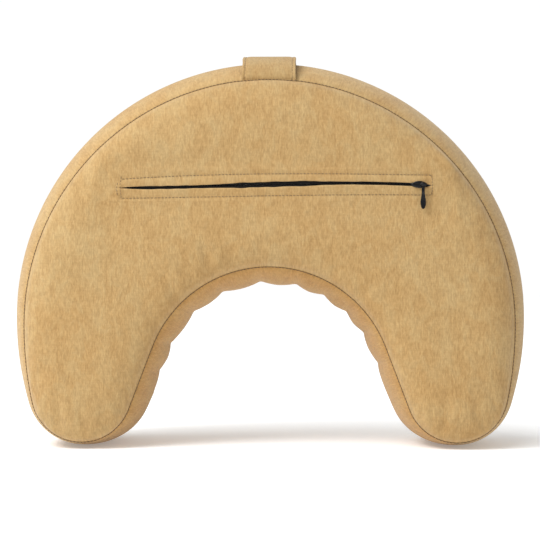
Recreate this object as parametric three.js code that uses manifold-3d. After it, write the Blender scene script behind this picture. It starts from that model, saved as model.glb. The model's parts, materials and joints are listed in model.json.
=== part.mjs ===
// Crescent lumbar cushion: a zipped canvas cover round an inner case of loose filling.
// Millimetres. X runs across the cushion, the zipped front faces -Y, and it stands on its two
// lobe tips at Z = 0. Fabric pieces are plain solids of their real thickness.

import * as THREE from 'three';
import { mergeVertices } from 'three/addons/utils/BufferGeometryUtils.js';
import Module from 'manifold-3d';

const wasm = await Module();
wasm.setup();

// Seam outline: a round back, two lobes and the arch between them, all tangent arcs
const OUTER_RADIUS = 215;
const LOBE_RADIUS = 44;
const LOBE_INSET = 6; // how far each lobe's side lies inside the widest point
const LEG_RISE = 59; // from the lobe centres up to the centre of the round back
const LEG_SPLAY = 11; // how far the arch closes in above the lobes
const LEG_BOW = 0.8; // the arch's sides are very nearly straight
const SEAM_LIFT = 6; // seam line above the floor at the lobe tips

// Cover
const SEAM_DEPTH = 96; // between the front and back seams
const CROWN = 15; // how far each face stands out past its seam
const CROWN_REACH = 20; // width of the rounded rim of each face
const SIDE_BULGE = 10; // gusset bulge at the lobe tips
const TOP_BULGE = 19.5; // gusset bulge at the middle of the back and of the arch
const BULGE_POWER = 0.8;
const FABRIC = 1.2;
const CLEAR = 0.3; // between pieces that lie on each other
const THREAD = 0.7;

// Inner case and filling
const CASE_INSET = 6;
const CASE_FULLNESS = 1.5; // how much further the case bulges into the cover's gussets
const CASE_FABRIC = 0.8;
const FILL_SLACK = 0.9; // between the filling and its case
const FILL_ROOT = 8; // how far the gusset parts of the filling reach into its core

// Carry strap over the top
const STRAP_WIDTH = 48;
const STRAP_THICK = 2.4;
const FINGER_GAP = 4.8;
const STRAP_FOOT_LIFT = 1.3;
const STRAP_STITCH_INSET = 2.7;

// Zipper, measured along its slit in the front face
const ZIP_DROP = 93; // from the top of the seam down to the slit
const SLIT_HEIGHT = 4.4;
const SLIT_MARGIN_LEFT = 48.5; // from the seam to the slit's closed end
const TAPE_MARGIN_RIGHT = 2; // from the slit's open end to the tapes' end
const TAPE_OVERRUN = 5.5;
const TAPE_THICK = 0.6;
const TAPE_HALF_HEIGHT = 11;
const TAPE_SPLIT = 1.8;
const COIL_DEPTH = 1.5;
const COIL_HEIGHT = 1.8;
const COIL_SPLIT = 1;
const COIL_END_MARGIN = 4.1; // from the slit's right end to the coils' end
const STOP_LENGTH = 2.2;
const STITCH_HALF_HEIGHT = 9;
const STITCH_END_GAP = 1; // from the slit's right end to the stitching
const TACK_SPACING = 2.5; // between the two rows at the slit's left end

// Slider and its pull
const SLIDER_LENGTH = 15;
const SLIDER_HEIGHT = 5.6;
const SLIDER_PLATE = 1;
const SLIDER_BACK_LENGTH = 9;
const SLIDER_BACK_THICK = 0.8;
const FLANGE_THICK = 0.65;
const POST_LENGTH = 3;
const POST_THICK = 0.6;
const SLIDER_END_MARGIN = 10; // from the slit's right end back to the slider's middle
const BRIDGE_OFFSET = 3.2; // the bridge sits towards the closed end of the slider
const BRIDGE_HALF_SPAN = 3.5;
const BRIDGE_BAR_DEPTH = 0.8;
const BRIDGE_BAR_HEIGHT = 1.2;
const BRIDGE_STAND = 3.3; // bar centre in front of the face
const RING_BORE = 0.95;
const RING_RADIUS = 1.75;
const RING_WIDTH = 3.6;
const PULL_LENGTH = 21.5; // from the bar to the tip
const PULL_THICK = 1.3;
const PULL_WIDTH = 4.7;
const PULL_NECK = 2.6;

// Facets
const OUTER_CELLS = 26; // along half of the round back
const ARCH_CELLS = 16; // along half of the arch
const CASE_OUTER_CELLS = 18;
const CASE_ARCH_CELLS = 12;
const ACROSS_CELLS = 6;
const CASE_ACROSS_CELLS = 4;
const RIM_CELLS = 3;
const TURN_WEIGHT = 40; // spends more facets where the outline turns sharply

// Places that follow from the sizes
const lobeX = OUTER_RADIUS - LOBE_RADIUS - LOBE_INSET;
const lobeZ = LOBE_RADIUS + SEAM_LIFT;
const backCentreZ = lobeZ + LEG_RISE;
const archRadius = lobeX - LOBE_RADIUS - LEG_SPLAY;
const sideRadius = LOBE_RADIUS + LOBE_INSET / 2 + LEG_RISE ** 2 / (2 * LOBE_INSET);
const sideX = OUTER_RADIUS - sideRadius;
const sideTurn = Math.atan2(lobeZ - backCentreZ, lobeX - sideX);
const legTilt = Math.acos((archRadius + LOBE_RADIUS) / lobeX);
const halfSeam = SEAM_DEPTH / 2;
const faceY = -halfSeam - CROWN; // the flat of the front face
const seamTopZ = backCentreZ + OUTER_RADIUS;
const coverTopZ = seamTopZ + TOP_BULGE;

const zipZ = seamTopZ - ZIP_DROP;
const halfChord = (radius, z) => Math.sqrt(radius ** 2 - (z - backCentreZ) ** 2);
const tapeRight = halfChord(OUTER_RADIUS - CROWN_REACH, zipZ + TAPE_HALF_HEIGHT);
const slitRight = tapeRight - TAPE_MARGIN_RIGHT;
const slitLeft = SLIT_MARGIN_LEFT - halfChord(OUTER_RADIUS, zipZ);
const tapeLeft = slitLeft - TAPE_OVERRUN;
const coilRight = slitRight - COIL_END_MARGIN;
const tapeFront = faceY + FABRIC + CLEAR;
const coilFront = tapeFront + TAPE_THICK + CLEAR;
const backPlateFront = coilFront + COIL_DEPTH + CLEAR;
const backPlateRear = backPlateFront + SLIDER_BACK_THICK;
const sliderX = slitRight - SLIDER_END_MARGIN;
const barY = faceY - BRIDGE_STAND;
const pullFrontY = barY - RING_RADIUS;

// One half of an outline runs from a lobe tip (0) to the middle (1)
function arc(centreX, centreZ, radius, from, to, outwards = 1) {
  return {
    weight: Math.abs(to - from) * (radius + TURN_WEIGHT),
    at: (share) => {
      const angle = from + (to - from) * share;
      const alongX = Math.cos(angle);
      const alongZ = Math.sin(angle);
      return {
        x: centreX + radius * alongX,
        z: centreZ + radius * alongZ,
        normalX: outwards * alongX,
        normalZ: outwards * alongZ,
      };
    },
  };
}

function nearlyStraight(start, end) {
  return {
    weight: Math.hypot(end.x - start.x, end.z - start.z),
    at: (share) => {
      const bow = LEG_BOW * Math.sin(share * Math.PI);
      return {
        x: start.x + (end.x - start.x) * share + start.normalX * bow,
        z: start.z + (end.z - start.z) * share + start.normalZ * bow,
        normalX: start.normalX,
        normalZ: start.normalZ,
      };
    },
  };
}

const innerLobe = arc(lobeX, lobeZ, LOBE_RADIUS, -Math.PI / 2, legTilt - Math.PI);
const archTop = arc(0, lobeZ, archRadius, legTilt, Math.PI / 2, -1);
const halfPaths = {
  outer: [
    arc(lobeX, lobeZ, LOBE_RADIUS, -Math.PI / 2, sideTurn),
    arc(sideX, backCentreZ, sideRadius, sideTurn, 0),
    arc(0, backCentreZ, OUTER_RADIUS, 0, Math.PI / 2),
  ],
  inner: [innerLobe, nearlyStraight(innerLobe.at(1), archTop.at(0)), archTop],
};

const pathWeight = (name) => halfPaths[name].reduce((sum, piece) => sum + piece.weight, 0);

function pathPoint(name, share) {
  const pieces = halfPaths[name];
  let left = share * pathWeight(name);
  for (const piece of pieces.slice(0, -1)) {
    if (left <= piece.weight) return piece.at(left / piece.weight);
    left -= piece.weight;
  }
  const last = pieces[pieces.length - 1];
  return last.at(Math.min(left / last.weight, 1));
}

const bulgeAt = (share) => SIDE_BULGE + (TOP_BULGE - SIDE_BULGE) * Math.sin((share * Math.PI) / 2);

// The whole closed outline, anticlockwise, moved outwards by an offset
function outline(offset, outerCells, archCells) {
  const points = [];
  const place = (name, side, share) => {
    const p = pathPoint(name, share);
    points.push(new THREE.Vector2(side * (p.x + p.normalX * offset), p.z + p.normalZ * offset));
  };
  for (let i = 0; i <= outerCells; i++) place('outer', 1, i / outerCells);
  for (let i = outerCells - 1; i >= 0; i--) place('outer', -1, i / outerCells);
  for (let i = 1; i <= archCells; i++) place('inner', -1, i / archCells);
  for (let i = archCells - 1; i > 0; i--) place('inner', 1, i / archCells);
  return points;
}

// Manifold solids, for joining and cutting only
function solid(geometry) {
  const bare = geometry.clone();
  bare.deleteAttribute('normal');
  bare.deleteAttribute('uv');
  const merged = mergeVertices(bare, 1e-5);
  return new wasm.Manifold(new wasm.Mesh({
    numProp: 3,
    vertProperties: new Float32Array(merged.attributes.position.array),
    triVerts: new Uint32Array(merged.index.array),
  }));
}

function geometryOf(manifold) {
  const mesh = manifold.getMesh();
  const geometry = new THREE.BufferGeometry();
  geometry.setAttribute('position', new THREE.BufferAttribute(mesh.vertProperties, 3));
  geometry.setIndex(new THREE.BufferAttribute(mesh.triVerts, 1));
  geometry.computeVertexNormals();
  return geometry;
}

const join = (geometries) => geometryOf(geometries.map(solid).reduce((all, one) => all.add(one)));

// A box given by its lowest and highest corners
function block(low, high) {
  const size = high.map((value, axis) => value - low[axis]);
  const middle = high.map((value, axis) => (value + low[axis]) / 2);
  return new THREE.BoxGeometry(...size).translate(...middle);
}

// An outline in X and Z, made thick along Y from front to back
function slab(shape, front, back, options = {}) {
  const geometry = new THREE.ExtrudeGeometry(shape, {
    depth: back - front,
    bevelEnabled: false,
    curveSegments: 8,
    ...options,
  });
  return geometry.rotateX(Math.PI / 2).translate(0, back, 0);
}

// A layer is one of the nested crescent shapes: cover, inner case or filling
const coverLayer = {
  inset: 0,
  crown: CROWN,
  reach: CROWN_REACH,
  centreY: 0,
  floor: 0,
  fullness: 0,
  cells: { outer: OUTER_CELLS, inner: ARCH_CELLS, across: ACROSS_CELLS },
};

const caseFrontY = backPlateRear + CLEAR;
const caseBackY = -faceY - FABRIC - CLEAR;
const caseLayer = {
  inset: CASE_INSET,
  crown: (caseBackY - caseFrontY) / 2 - halfSeam,
  reach: CROWN_REACH - CASE_INSET,
  centreY: (caseBackY + caseFrontY) / 2,
  floor: FABRIC + CLEAR,
  fullness: CASE_FULLNESS,
  cells: { outer: CASE_OUTER_CELLS, inner: CASE_ARCH_CELLS, across: CASE_ACROSS_CELLS },
};

const deeper = (layer, by) => ({
  ...layer,
  inset: layer.inset + by,
  crown: layer.crown - by,
  reach: layer.reach - by,
  floor: layer.floor + by,
});

function pillow(layer) {
  const shape = new THREE.Shape(outline(-layer.inset, layer.cells.outer, layer.cells.inner));
  return slab(shape, layer.centreY - halfSeam, layer.centreY + halfSeam, {
    bevelEnabled: true,
    bevelThickness: layer.crown,
    bevelSize: layer.reach,
    bevelOffset: -layer.reach,
    bevelSegments: RIM_CELLS,
  });
}

// The rounded face panel on one side: -1 is the front, 1 the back
function facePanel(layer, thickness, side) {
  const reach = 2 * OUTER_RADIUS;
  const seamY = layer.centreY + side * halfSeam;
  const low = [-reach, side < 0 ? seamY : -reach, -reach];
  const high = [reach, side < 0 ? reach : seamY, 2 * reach];
  const shell = solid(pillow(layer)).subtract(solid(pillow(deeper(layer, thickness))));
  return shell.subtract(solid(block(low, high)));
}

// The side band along one path, bulging between the two seams
function gusset(layer, thickness, name) {
  const cells = layer.cells;
  const geometry = new THREE.BoxGeometry(2, 2, 2, 2 * cells[name], cells.across, 1);
  const position = geometry.attributes.position;
  const direction = name === 'outer' ? 1 : -1;
  // the two gussets stop just short of each other at the lobe tips
  const firstShare = ((CLEAR / 2) * (1 + TURN_WEIGHT / LOBE_RADIUS)) / pathWeight(name);
  for (let i = 0; i < position.count; i++) {
    const along = position.getX(i);
    const across = position.getY(i);
    const isOutside = position.getZ(i) > 0;
    const share = Math.max(1 - Math.abs(along), firstShare);
    const side = along < 0 ? -direction : direction;
    const p = pathPoint(name, share);
    const bulge = (bulgeAt(share) + layer.fullness) * (1 - across ** 2) ** BULGE_POWER;
    const offset = bulge - layer.inset - (isOutside ? 0 : thickness);
    const lowest = layer.floor + (isOutside ? 0 : thickness);
    position.setXYZ(
      i,
      side * (p.x + p.normalX * offset),
      layer.centreY + across * (halfSeam - CLEAR),
      Math.max(p.z + p.normalZ * offset, lowest),
    );
  }
  return geometry;
}

// A fine band of thread lying along the seam on one side
function seamThread(side) {
  const shape = new THREE.Shape(outline(CLEAR + THREAD, OUTER_CELLS, ARCH_CELLS));
  shape.holes.push(new THREE.Path(outline(CLEAR, OUTER_CELLS, ARCH_CELLS)));
  const near = side * halfSeam;
  const far = side * (halfSeam + THREAD);
  return slab(shape, Math.min(near, far), Math.max(near, far));
}

// The strap's arched section in Y and Z, between two distances from its middle line
function strapSection(inside, outside) {
  const footZ = seamTopZ + STRAP_FOOT_LIFT;
  const rise = coverTopZ + FINGER_GAP + STRAP_THICK / 2 - footZ;
  const shape = new THREE.Shape();
  shape.moveTo(halfSeam + outside, footZ);
  shape.absellipse(0, footZ, halfSeam + outside, rise + outside, 0, Math.PI, false, 0);
  shape.lineTo(-halfSeam - inside, footZ);
  shape.absellipse(0, footZ, halfSeam + inside, rise + inside, Math.PI, 0, true, 0);
  return shape;
}

function strapBand(inside, outside, width, middleX) {
  const geometry = new THREE.ExtrudeGeometry(strapSection(inside, outside), {
    depth: width,
    bevelEnabled: false,
    curveSegments: 10,
  });
  const axes = new THREE.Matrix4().makeBasis(
    new THREE.Vector3(0, 1, 0),
    new THREE.Vector3(0, 0, 1),
    new THREE.Vector3(1, 0, 0),
  );
  return geometry.applyMatrix4(axes).translate(middleX - width / 2, 0, 0);
}

function frontPanel() {
  const slit = block(
    [slitLeft, faceY - FABRIC, zipZ - SLIT_HEIGHT / 2],
    [slitRight, faceY + 2 * FABRIC, zipZ + SLIT_HEIGHT / 2],
  );
  return geometryOf(facePanel(coverLayer, FABRIC, -1).subtract(solid(slit)));
}

// A bar along the zipper, above (1) or below (-1) its middle line
function zipBar(side, nearZ, farZ, leftX, rightX, front, back) {
  const low = Math.min(side * nearZ, side * farZ);
  const high = Math.max(side * nearZ, side * farZ);
  return block([leftX, front, zipZ + low], [rightX, back, zipZ + high]);
}

function zipTape(side) {
  const back = tapeFront + TAPE_THICK;
  return zipBar(side, TAPE_SPLIT / 2, TAPE_HALF_HEIGHT, tapeLeft, tapeRight, tapeFront, back);
}

function zipCoil(side) {
  const inner = COIL_SPLIT / 2;
  const back = coilFront + COIL_DEPTH;
  return zipBar(side, inner, inner + COIL_HEIGHT, slitLeft, coilRight, coilFront, back);
}

function topStop(side) {
  const inner = COIL_SPLIT / 2;
  const left = coilRight + CLEAR;
  const back = coilFront + COIL_DEPTH;
  return zipBar(side, inner, inner + COIL_HEIGHT, left, left + STOP_LENGTH, coilFront, back);
}

function bottomStop() {
  const half = COIL_SPLIT / 2 + COIL_HEIGHT;
  const right = slitLeft - CLEAR;
  return block(
    [right - STOP_LENGTH, coilFront, zipZ - half],
    [right, coilFront + COIL_DEPTH, zipZ + half],
  );
}

// Stitching round the slit: a row above, one below, one at the open end and two at the closed end
function slitStitching() {
  const half = THREAD / 2;
  const front = faceY - CLEAR - THREAD;
  const back = faceY - CLEAR;
  const right = slitRight + STITCH_END_GAP;
  const tackRight = slitLeft - STITCH_END_GAP;
  const tackLeft = tackRight - TACK_SPACING;
  const rows = [zipZ - STITCH_HALF_HEIGHT, zipZ + STITCH_HALF_HEIGHT].map((z) => block(
    [tackLeft - half, front, z - half],
    [right + half, back, z + half],
  ));
  const columns = [tackLeft, tackRight, right].map((x) => block(
    [x - half, front, zipZ - STITCH_HALF_HEIGHT],
    [x + half, back, zipZ + STITCH_HALF_HEIGHT],
  ));
  return join([...rows, ...columns]);
}

function sliderBody() {
  const half = SLIDER_LENGTH / 2;
  const eye = new THREE.Shape();
  eye.moveTo(sliderX - half, zipZ);
  eye.quadraticCurveTo(sliderX, zipZ - SLIDER_HEIGHT, sliderX + half, zipZ);
  eye.quadraticCurveTo(sliderX, zipZ + SLIDER_HEIGHT, sliderX - half, zipZ);
  const plateBack = faceY - CLEAR;
  const plateFront = plateBack - SLIDER_PLATE;
  const bridgeX = sliderX + BRIDGE_OFFSET;
  const barHalf = BRIDGE_BAR_HEIGHT / 2;
  const barFront = barY - BRIDGE_BAR_DEPTH / 2;
  const barBack = barY + BRIDGE_BAR_DEPTH / 2;
  const coilOutside = COIL_SPLIT / 2 + COIL_HEIGHT + CLEAR;
  const backHalfLength = SLIDER_BACK_LENGTH / 2;
  const backHalfHeight = coilOutside + FLANGE_THICK;
  const pieces = [
    slab(eye, plateFront, plateBack),
    block(
      [sliderX - POST_LENGTH / 2, plateBack - SLIDER_PLATE / 2, zipZ - POST_THICK / 2],
      [sliderX + POST_LENGTH / 2, backPlateFront + SLIDER_BACK_THICK / 2, zipZ + POST_THICK / 2],
    ),
    block(
      [sliderX - backHalfLength, backPlateFront, zipZ - backHalfHeight],
      [sliderX + backHalfLength, backPlateRear, zipZ + backHalfHeight],
    ),
    block(
      [bridgeX - BRIDGE_HALF_SPAN, barFront, zipZ - barHalf],
      [bridgeX + BRIDGE_HALF_SPAN, barBack, zipZ + barHalf],
    ),
  ];
  for (const side of [-1, 1]) {
    const legX = bridgeX + side * (BRIDGE_HALF_SPAN - BRIDGE_BAR_DEPTH / 2);
    const flangeRear = backPlateFront + SLIDER_BACK_THICK / 2;
    pieces.push(block(
      [legX - BRIDGE_BAR_DEPTH / 2, barFront, zipZ - barHalf],
      [legX + BRIDGE_BAR_DEPTH / 2, plateBack - SLIDER_PLATE / 2, zipZ + barHalf],
    ));
    pieces.push(zipBar(
      side, coilOutside, backHalfHeight,
      sliderX - backHalfLength, sliderX + backHalfLength, coilFront, flangeRear,
    ));
  }
  return join(pieces);
}

function pullTab() {
  const x = sliderX + BRIDGE_OFFSET;
  const wide = PULL_WIDTH / 2;
  const neck = PULL_NECK / 2;
  const neckZ = zipZ - 0.3 * PULL_LENGTH;
  const wideZ = zipZ - 0.62 * PULL_LENGTH;
  const tipZ = zipZ - PULL_LENGTH;
  const drop = new THREE.Shape();
  drop.moveTo(x - neck, zipZ - (RING_BORE + RING_RADIUS) / 2);
  drop.lineTo(x - neck, neckZ);
  drop.bezierCurveTo(x - neck, wideZ + wide, x - wide, wideZ + wide, x - wide, wideZ);
  drop.bezierCurveTo(x - wide, tipZ + wide, x - neck / 2, tipZ, x, tipZ);
  drop.bezierCurveTo(x + neck / 2, tipZ, x + wide, tipZ + wide, x + wide, wideZ);
  drop.bezierCurveTo(x + wide, wideZ + wide, x + neck, wideZ + wide, x + neck, neckZ);
  drop.lineTo(x + neck, zipZ - (RING_BORE + RING_RADIUS) / 2);
  const profile = [
    new THREE.Vector2(RING_BORE, -RING_WIDTH / 2),
    new THREE.Vector2(RING_RADIUS, -RING_WIDTH / 2),
    new THREE.Vector2(RING_RADIUS, RING_WIDTH / 2),
    new THREE.Vector2(RING_BORE, RING_WIDTH / 2),
    new THREE.Vector2(RING_BORE, -RING_WIDTH / 2),
  ];
  const ring = new THREE.LatheGeometry(profile, 16).rotateZ(Math.PI / 2).translate(x, barY, zipZ);
  return join([ring, slab(drop, barY - PULL_THICK / 2, barY + PULL_THICK / 2)]);
}

function filling() {
  const layer = deeper(caseLayer, CASE_FABRIC + FILL_SLACK);
  return join([pillow(layer), gusset(layer, FILL_ROOT, 'outer'), gusset(layer, FILL_ROOT, 'inner')]);
}

// Finishes
const finish = (color, roughness, metalness = 0) => new THREE.MeshStandardMaterial({
  color,
  roughness,
  metalness,
});
const canvas = finish(0xc9a16b, 0.85);
const canvasSide = finish(0xd0ab78, 0.85);
const strapCanvas = finish(0xcba76f, 0.85);
const threadTan = finish(0x8f6a3c, 0.7);
const tapeBlack = finish(0x1b1816, 0.8);
const nylonBlack = finish(0x26221f, 0.45);
const enamelBlack = finish(0x0e0d0d, 0.25, 0.6);
const caseCotton = finish(0xece6d8, 0.9);
const hullBrown = finish(0x4b3527, 0.9);

const cushion = new THREE.Group();
cushion.position.y = (faceY - pullFrontY) / 2; // the whole depth, pull tab included, is centred

function place(name, geometry, material) {
  const mesh = new THREE.Mesh(geometry, material);
  mesh.name = name;
  cushion.add(mesh);
}

place('cover_front_panel', frontPanel(), canvas);
place('cover_back_panel', geometryOf(facePanel(coverLayer, FABRIC, 1)), canvas);
place('cover_outer_gusset', gusset(coverLayer, FABRIC, 'outer'), canvasSide);
place('cover_inner_gusset', gusset(coverLayer, FABRIC, 'inner'), canvasSide);
place('front_seam_thread', seamThread(-1), threadTan);
place('back_seam_thread', seamThread(1), threadTan);

const strapHalf = STRAP_THICK / 2;
place('carry_strap', strapBand(-strapHalf, strapHalf, STRAP_WIDTH, 0), strapCanvas);
for (const [name, side] of [['left', -1], ['right', 1]]) {
  const x = side * (STRAP_WIDTH / 2 - STRAP_STITCH_INSET);
  const under = strapHalf + CLEAR;
  place(`carry_strap_stitch_${name}`, strapBand(under, under + THREAD, THREAD, x), threadTan);
}

for (const [name, side] of [['upper', 1], ['lower', -1]]) {
  place(`zipper_tape_${name}`, zipTape(side), tapeBlack);
  place(`zipper_coil_${name}`, zipCoil(side), nylonBlack);
  place(`zipper_top_stop_${name}`, topStop(side), nylonBlack);
}
place('zipper_bottom_stop', bottomStop(), nylonBlack);
place('zipper_slit_stitching', slitStitching(), threadTan);
place('zipper_slider', sliderBody(), enamelBlack);
place('zipper_pull_tab', pullTab(), enamelBlack);

place('case_front_panel', geometryOf(facePanel(caseLayer, CASE_FABRIC, -1)), caseCotton);
place('case_back_panel', geometryOf(facePanel(caseLayer, CASE_FABRIC, 1)), caseCotton);
place('case_outer_gusset', gusset(caseLayer, CASE_FABRIC, 'outer'), caseCotton);
place('case_inner_gusset', gusset(caseLayer, CASE_FABRIC, 'inner'), caseCotton);
place('filling', filling(), hullBrown);

export default cushion;
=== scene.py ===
"""A crescent lumbar cushion: zipped canvas cover, carry strap, zipper, inner case and filling.

Laid out as a Blender add-on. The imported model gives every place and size; metres throughout.
X runs across the cushion, the zipped face looks along -Y and the lobe tips stand on Z = 0.
"""

import json
import math

import bmesh
import bpy
import numpy as np
from bpy.props import FloatProperty, FloatVectorProperty, IntProperty, PointerProperty
from bpy.types import Operator, Panel, PropertyGroup
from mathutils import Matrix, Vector

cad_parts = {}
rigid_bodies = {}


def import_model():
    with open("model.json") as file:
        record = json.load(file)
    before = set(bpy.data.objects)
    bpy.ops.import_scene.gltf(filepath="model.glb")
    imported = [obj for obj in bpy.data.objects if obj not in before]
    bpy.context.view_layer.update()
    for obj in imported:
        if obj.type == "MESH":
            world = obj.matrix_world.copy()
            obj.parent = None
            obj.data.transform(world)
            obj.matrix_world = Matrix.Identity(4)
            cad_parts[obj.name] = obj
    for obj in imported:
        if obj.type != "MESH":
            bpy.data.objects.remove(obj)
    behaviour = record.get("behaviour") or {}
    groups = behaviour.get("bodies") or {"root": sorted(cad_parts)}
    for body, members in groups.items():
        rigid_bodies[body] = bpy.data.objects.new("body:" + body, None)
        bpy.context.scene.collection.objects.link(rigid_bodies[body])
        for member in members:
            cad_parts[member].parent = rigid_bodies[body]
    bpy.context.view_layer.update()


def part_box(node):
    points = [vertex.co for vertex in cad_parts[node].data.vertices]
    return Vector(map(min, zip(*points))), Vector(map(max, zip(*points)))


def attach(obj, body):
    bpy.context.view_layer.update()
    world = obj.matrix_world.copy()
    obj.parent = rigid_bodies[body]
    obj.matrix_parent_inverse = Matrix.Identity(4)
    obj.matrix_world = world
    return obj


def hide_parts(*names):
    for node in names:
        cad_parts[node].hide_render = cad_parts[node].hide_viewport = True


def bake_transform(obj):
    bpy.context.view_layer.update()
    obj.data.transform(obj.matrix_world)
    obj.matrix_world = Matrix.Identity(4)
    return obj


bl_info = {
    "name": "Lumbar Cushion",
    "version": (1, 0, 0),
    "blender": (4, 5, 0),
    "location": "View3D > Sidebar > Cushion",
    "description": "Builds a crescent cushion round its packed frame",
    "category": "Object",
}

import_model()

FRONT, BACK = -1, 1

FRONT_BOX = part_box("cover_front_panel")
BACK_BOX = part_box("cover_back_panel")
STRAP_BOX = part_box("carry_strap")
STITCH_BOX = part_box("zipper_slit_stitching")
SLIDER_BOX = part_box("zipper_slider")
PULL_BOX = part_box("zipper_pull_tab")
TAPE_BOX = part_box("zipper_tape_upper")

MIDDLE_Y = (FRONT_BOX[0].y + BACK_BOX[1].y) / 2
HALF_SEAM = (BACK_BOX[0].y - FRONT_BOX[1].y) / 2
FACE_Y = FRONT_BOX[0].y
FACE_CROWN = FRONT_BOX[1].y - FRONT_BOX[0].y
OUTER_RADIUS = FRONT_BOX[1].x
SEAM_TOP = FRONT_BOX[1].z
SEAM_BOTTOM = FRONT_BOX[0].z
ZIP_Z = (STITCH_BOX[0].z + STITCH_BOX[1].z) / 2
SLIT_LEFT = TAPE_BOX[0].x + 0.0055
SLIT_RIGHT = TAPE_BOX[1].x - 0.002


# ------------------------------------------------------------------ sizes and colours to change


class CoverSizes(PropertyGroup):
    lobe_radius: FloatProperty(
        name="Lobe radius", description="Radius of the seam round each lobe tip",
        default=0.044, unit="LENGTH")
    lobe_inset: FloatProperty(
        name="Lobe inset", description="How far a lobe's side lies inside the widest point",
        default=0.006, unit="LENGTH")
    leg_rise: FloatProperty(
        name="Leg rise", description="From the lobe centres up to the centre of the round back",
        default=0.059, unit="LENGTH")
    leg_splay: FloatProperty(
        name="Leg splay", description="How far the arch closes in above the lobes",
        default=0.011, unit="LENGTH")
    rim_reach: FloatProperty(
        name="Rim reach", description="Width of the rounded rim of each face",
        default=0.03, unit="LENGTH")
    side_bulge: FloatProperty(
        name="Side bulge", description="Gusset bulge at the lobe tips",
        default=0.0095, unit="LENGTH")
    top_bulge: FloatProperty(
        name="Top bulge", description="Gusset bulge at the middle of the back",
        default=0.0195, unit="LENGTH")
    arch_bulge: FloatProperty(
        name="Arch bulge", description="Gusset bulge at the crown of the arch",
        default=0.017, unit="LENGTH")
    tip_share: FloatProperty(
        name="Tip share", description="How much of the side bulge is left under the lobe tips",
        default=0.62)
    fabric: FloatProperty(
        name="Fabric", description="Thickness of the cover's cloth", default=0.0007, unit="LENGTH")
    pressure: FloatProperty(
        name="Pressure", description="How hard the filling presses on the cloth", default=4.0)
    swell_limit: FloatProperty(
        name="Swell limit", description="The furthest that a point of the cloth may move",
        default=0.0045, unit="LENGTH")
    frames: IntProperty(
        name="Frames", description="Frames of cloth simulation", default=20)


class StitchSizes(PropertyGroup):
    pitch: FloatProperty(
        name="Pitch", description="From one stitch to the next", default=0.0031, unit="LENGTH")
    length: FloatProperty(
        name="Length", description="Length of one stitch", default=0.0023, unit="LENGTH")
    thread: FloatProperty(
        name="Thread", description="Thickness of the sewing thread", default=0.00045, unit="LENGTH")


class ZipperSizes(PropertyGroup):
    gap: FloatProperty(
        name="Gap", description="Opening between the two lips over most of the slit",
        default=0.0024, unit="LENGTH")
    wide_gap: FloatProperty(
        name="Wide gap", description="Opening where the lips spread in the middle",
        default=0.0042, unit="LENGTH")
    tooth_pitch: FloatProperty(
        name="Tooth pitch", description="From one turn of a coil to the next",
        default=0.0013, unit="LENGTH")


class StrapSizes(PropertyGroup):
    stitch_inset: FloatProperty(
        name="Stitch inset", description="Edge stitching in from the strap's edge",
        default=0.0027, unit="LENGTH")


class Finishes(PropertyGroup):
    canvas: FloatVectorProperty(
        name="Canvas", description="Cover cloth", subtype="COLOR", min=0, max=1,
        default=(0.418, 0.263, 0.105))
    thread: FloatVectorProperty(
        name="Thread", description="Sewing thread", subtype="COLOR", min=0, max=1,
        default=(0.1, 0.052, 0.02))
    tape: FloatVectorProperty(
        name="Tape", description="Woven zipper tape", subtype="COLOR", min=0, max=1,
        default=(0.006, 0.0055, 0.0055))
    enamel: FloatVectorProperty(
        name="Enamel", description="Slider and pull", subtype="COLOR", min=0, max=1,
        default=(0.003, 0.003, 0.0035))
    cotton: FloatVectorProperty(
        name="Case cotton", description="Inner case", subtype="COLOR", min=0, max=1,
        default=(0.78, 0.73, 0.62))
    husk: FloatVectorProperty(
        name="Husk", description="Loose filling", subtype="COLOR", min=0, max=1,
        default=(0.075, 0.042, 0.022))


SETTINGS = {
    "cushion_cover": CoverSizes,
    "cushion_stitch": StitchSizes,
    "cushion_zipper": ZipperSizes,
    "cushion_strap": StrapSizes,
    "cushion_finish": Finishes,
}


# ------------------------------------------------------------------ the seam's outline


def arc(centre, radius, start, end, outwards=1):
    """A piece of outline: its length, and a function from shares of it to points and normals."""
    def at(share):
        angle = start + (end - start) * share
        direction = np.stack([np.cos(angle), np.sin(angle)], -1)
        return np.array(centre) + radius * direction, outwards * direction
    return radius * abs(end - start), at


def straight(start, end, normal):
    def at(share):
        points = start + (end - start) * share[:, None]
        return points, np.tile(normal, (len(share), 1))
    return float(np.linalg.norm(end - start)), at


def arch_radius(sizes):
    return OUTER_RADIUS - 2 * sizes.lobe_radius - sizes.lobe_inset - sizes.leg_splay


def half_paths(sizes):
    """The right half of the outer and of the arch seam, each from the lobe tip to the middle."""
    lobe = sizes.lobe_radius
    lobe_centre = (OUTER_RADIUS - lobe - sizes.lobe_inset, SEAM_BOTTOM + lobe)
    back_centre = (0, lobe_centre[1] + sizes.leg_rise)
    side_radius = lobe + sizes.lobe_inset / 2 + sizes.leg_rise ** 2 / (2 * sizes.lobe_inset)
    side_centre = (OUTER_RADIUS - side_radius, back_centre[1])
    side_turn = math.atan2(-sizes.leg_rise, lobe_centre[0] - side_centre[0])
    arch = arch_radius(sizes)
    arch_centre = (0, lobe_centre[1])
    tilt = math.acos((arch + lobe) / lobe_centre[0])
    towards = np.array([math.cos(tilt), math.sin(tilt)])
    leg_low = np.array(lobe_centre) - lobe * towards
    leg_high = np.array(arch_centre) + arch * towards
    down = -math.pi / 2
    outer = [
        arc(lobe_centre, lobe, down, side_turn),
        arc(side_centre, side_radius, side_turn, 0),
        arc(back_centre, OUTER_RADIUS, 0, math.pi / 2),
    ]
    inner = [
        arc(lobe_centre, lobe, down, tilt - math.pi),
        straight(leg_low, leg_high, -towards),
        arc(arch_centre, arch, tilt, math.pi / 2, -1),
    ]
    return outer, inner


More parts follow.
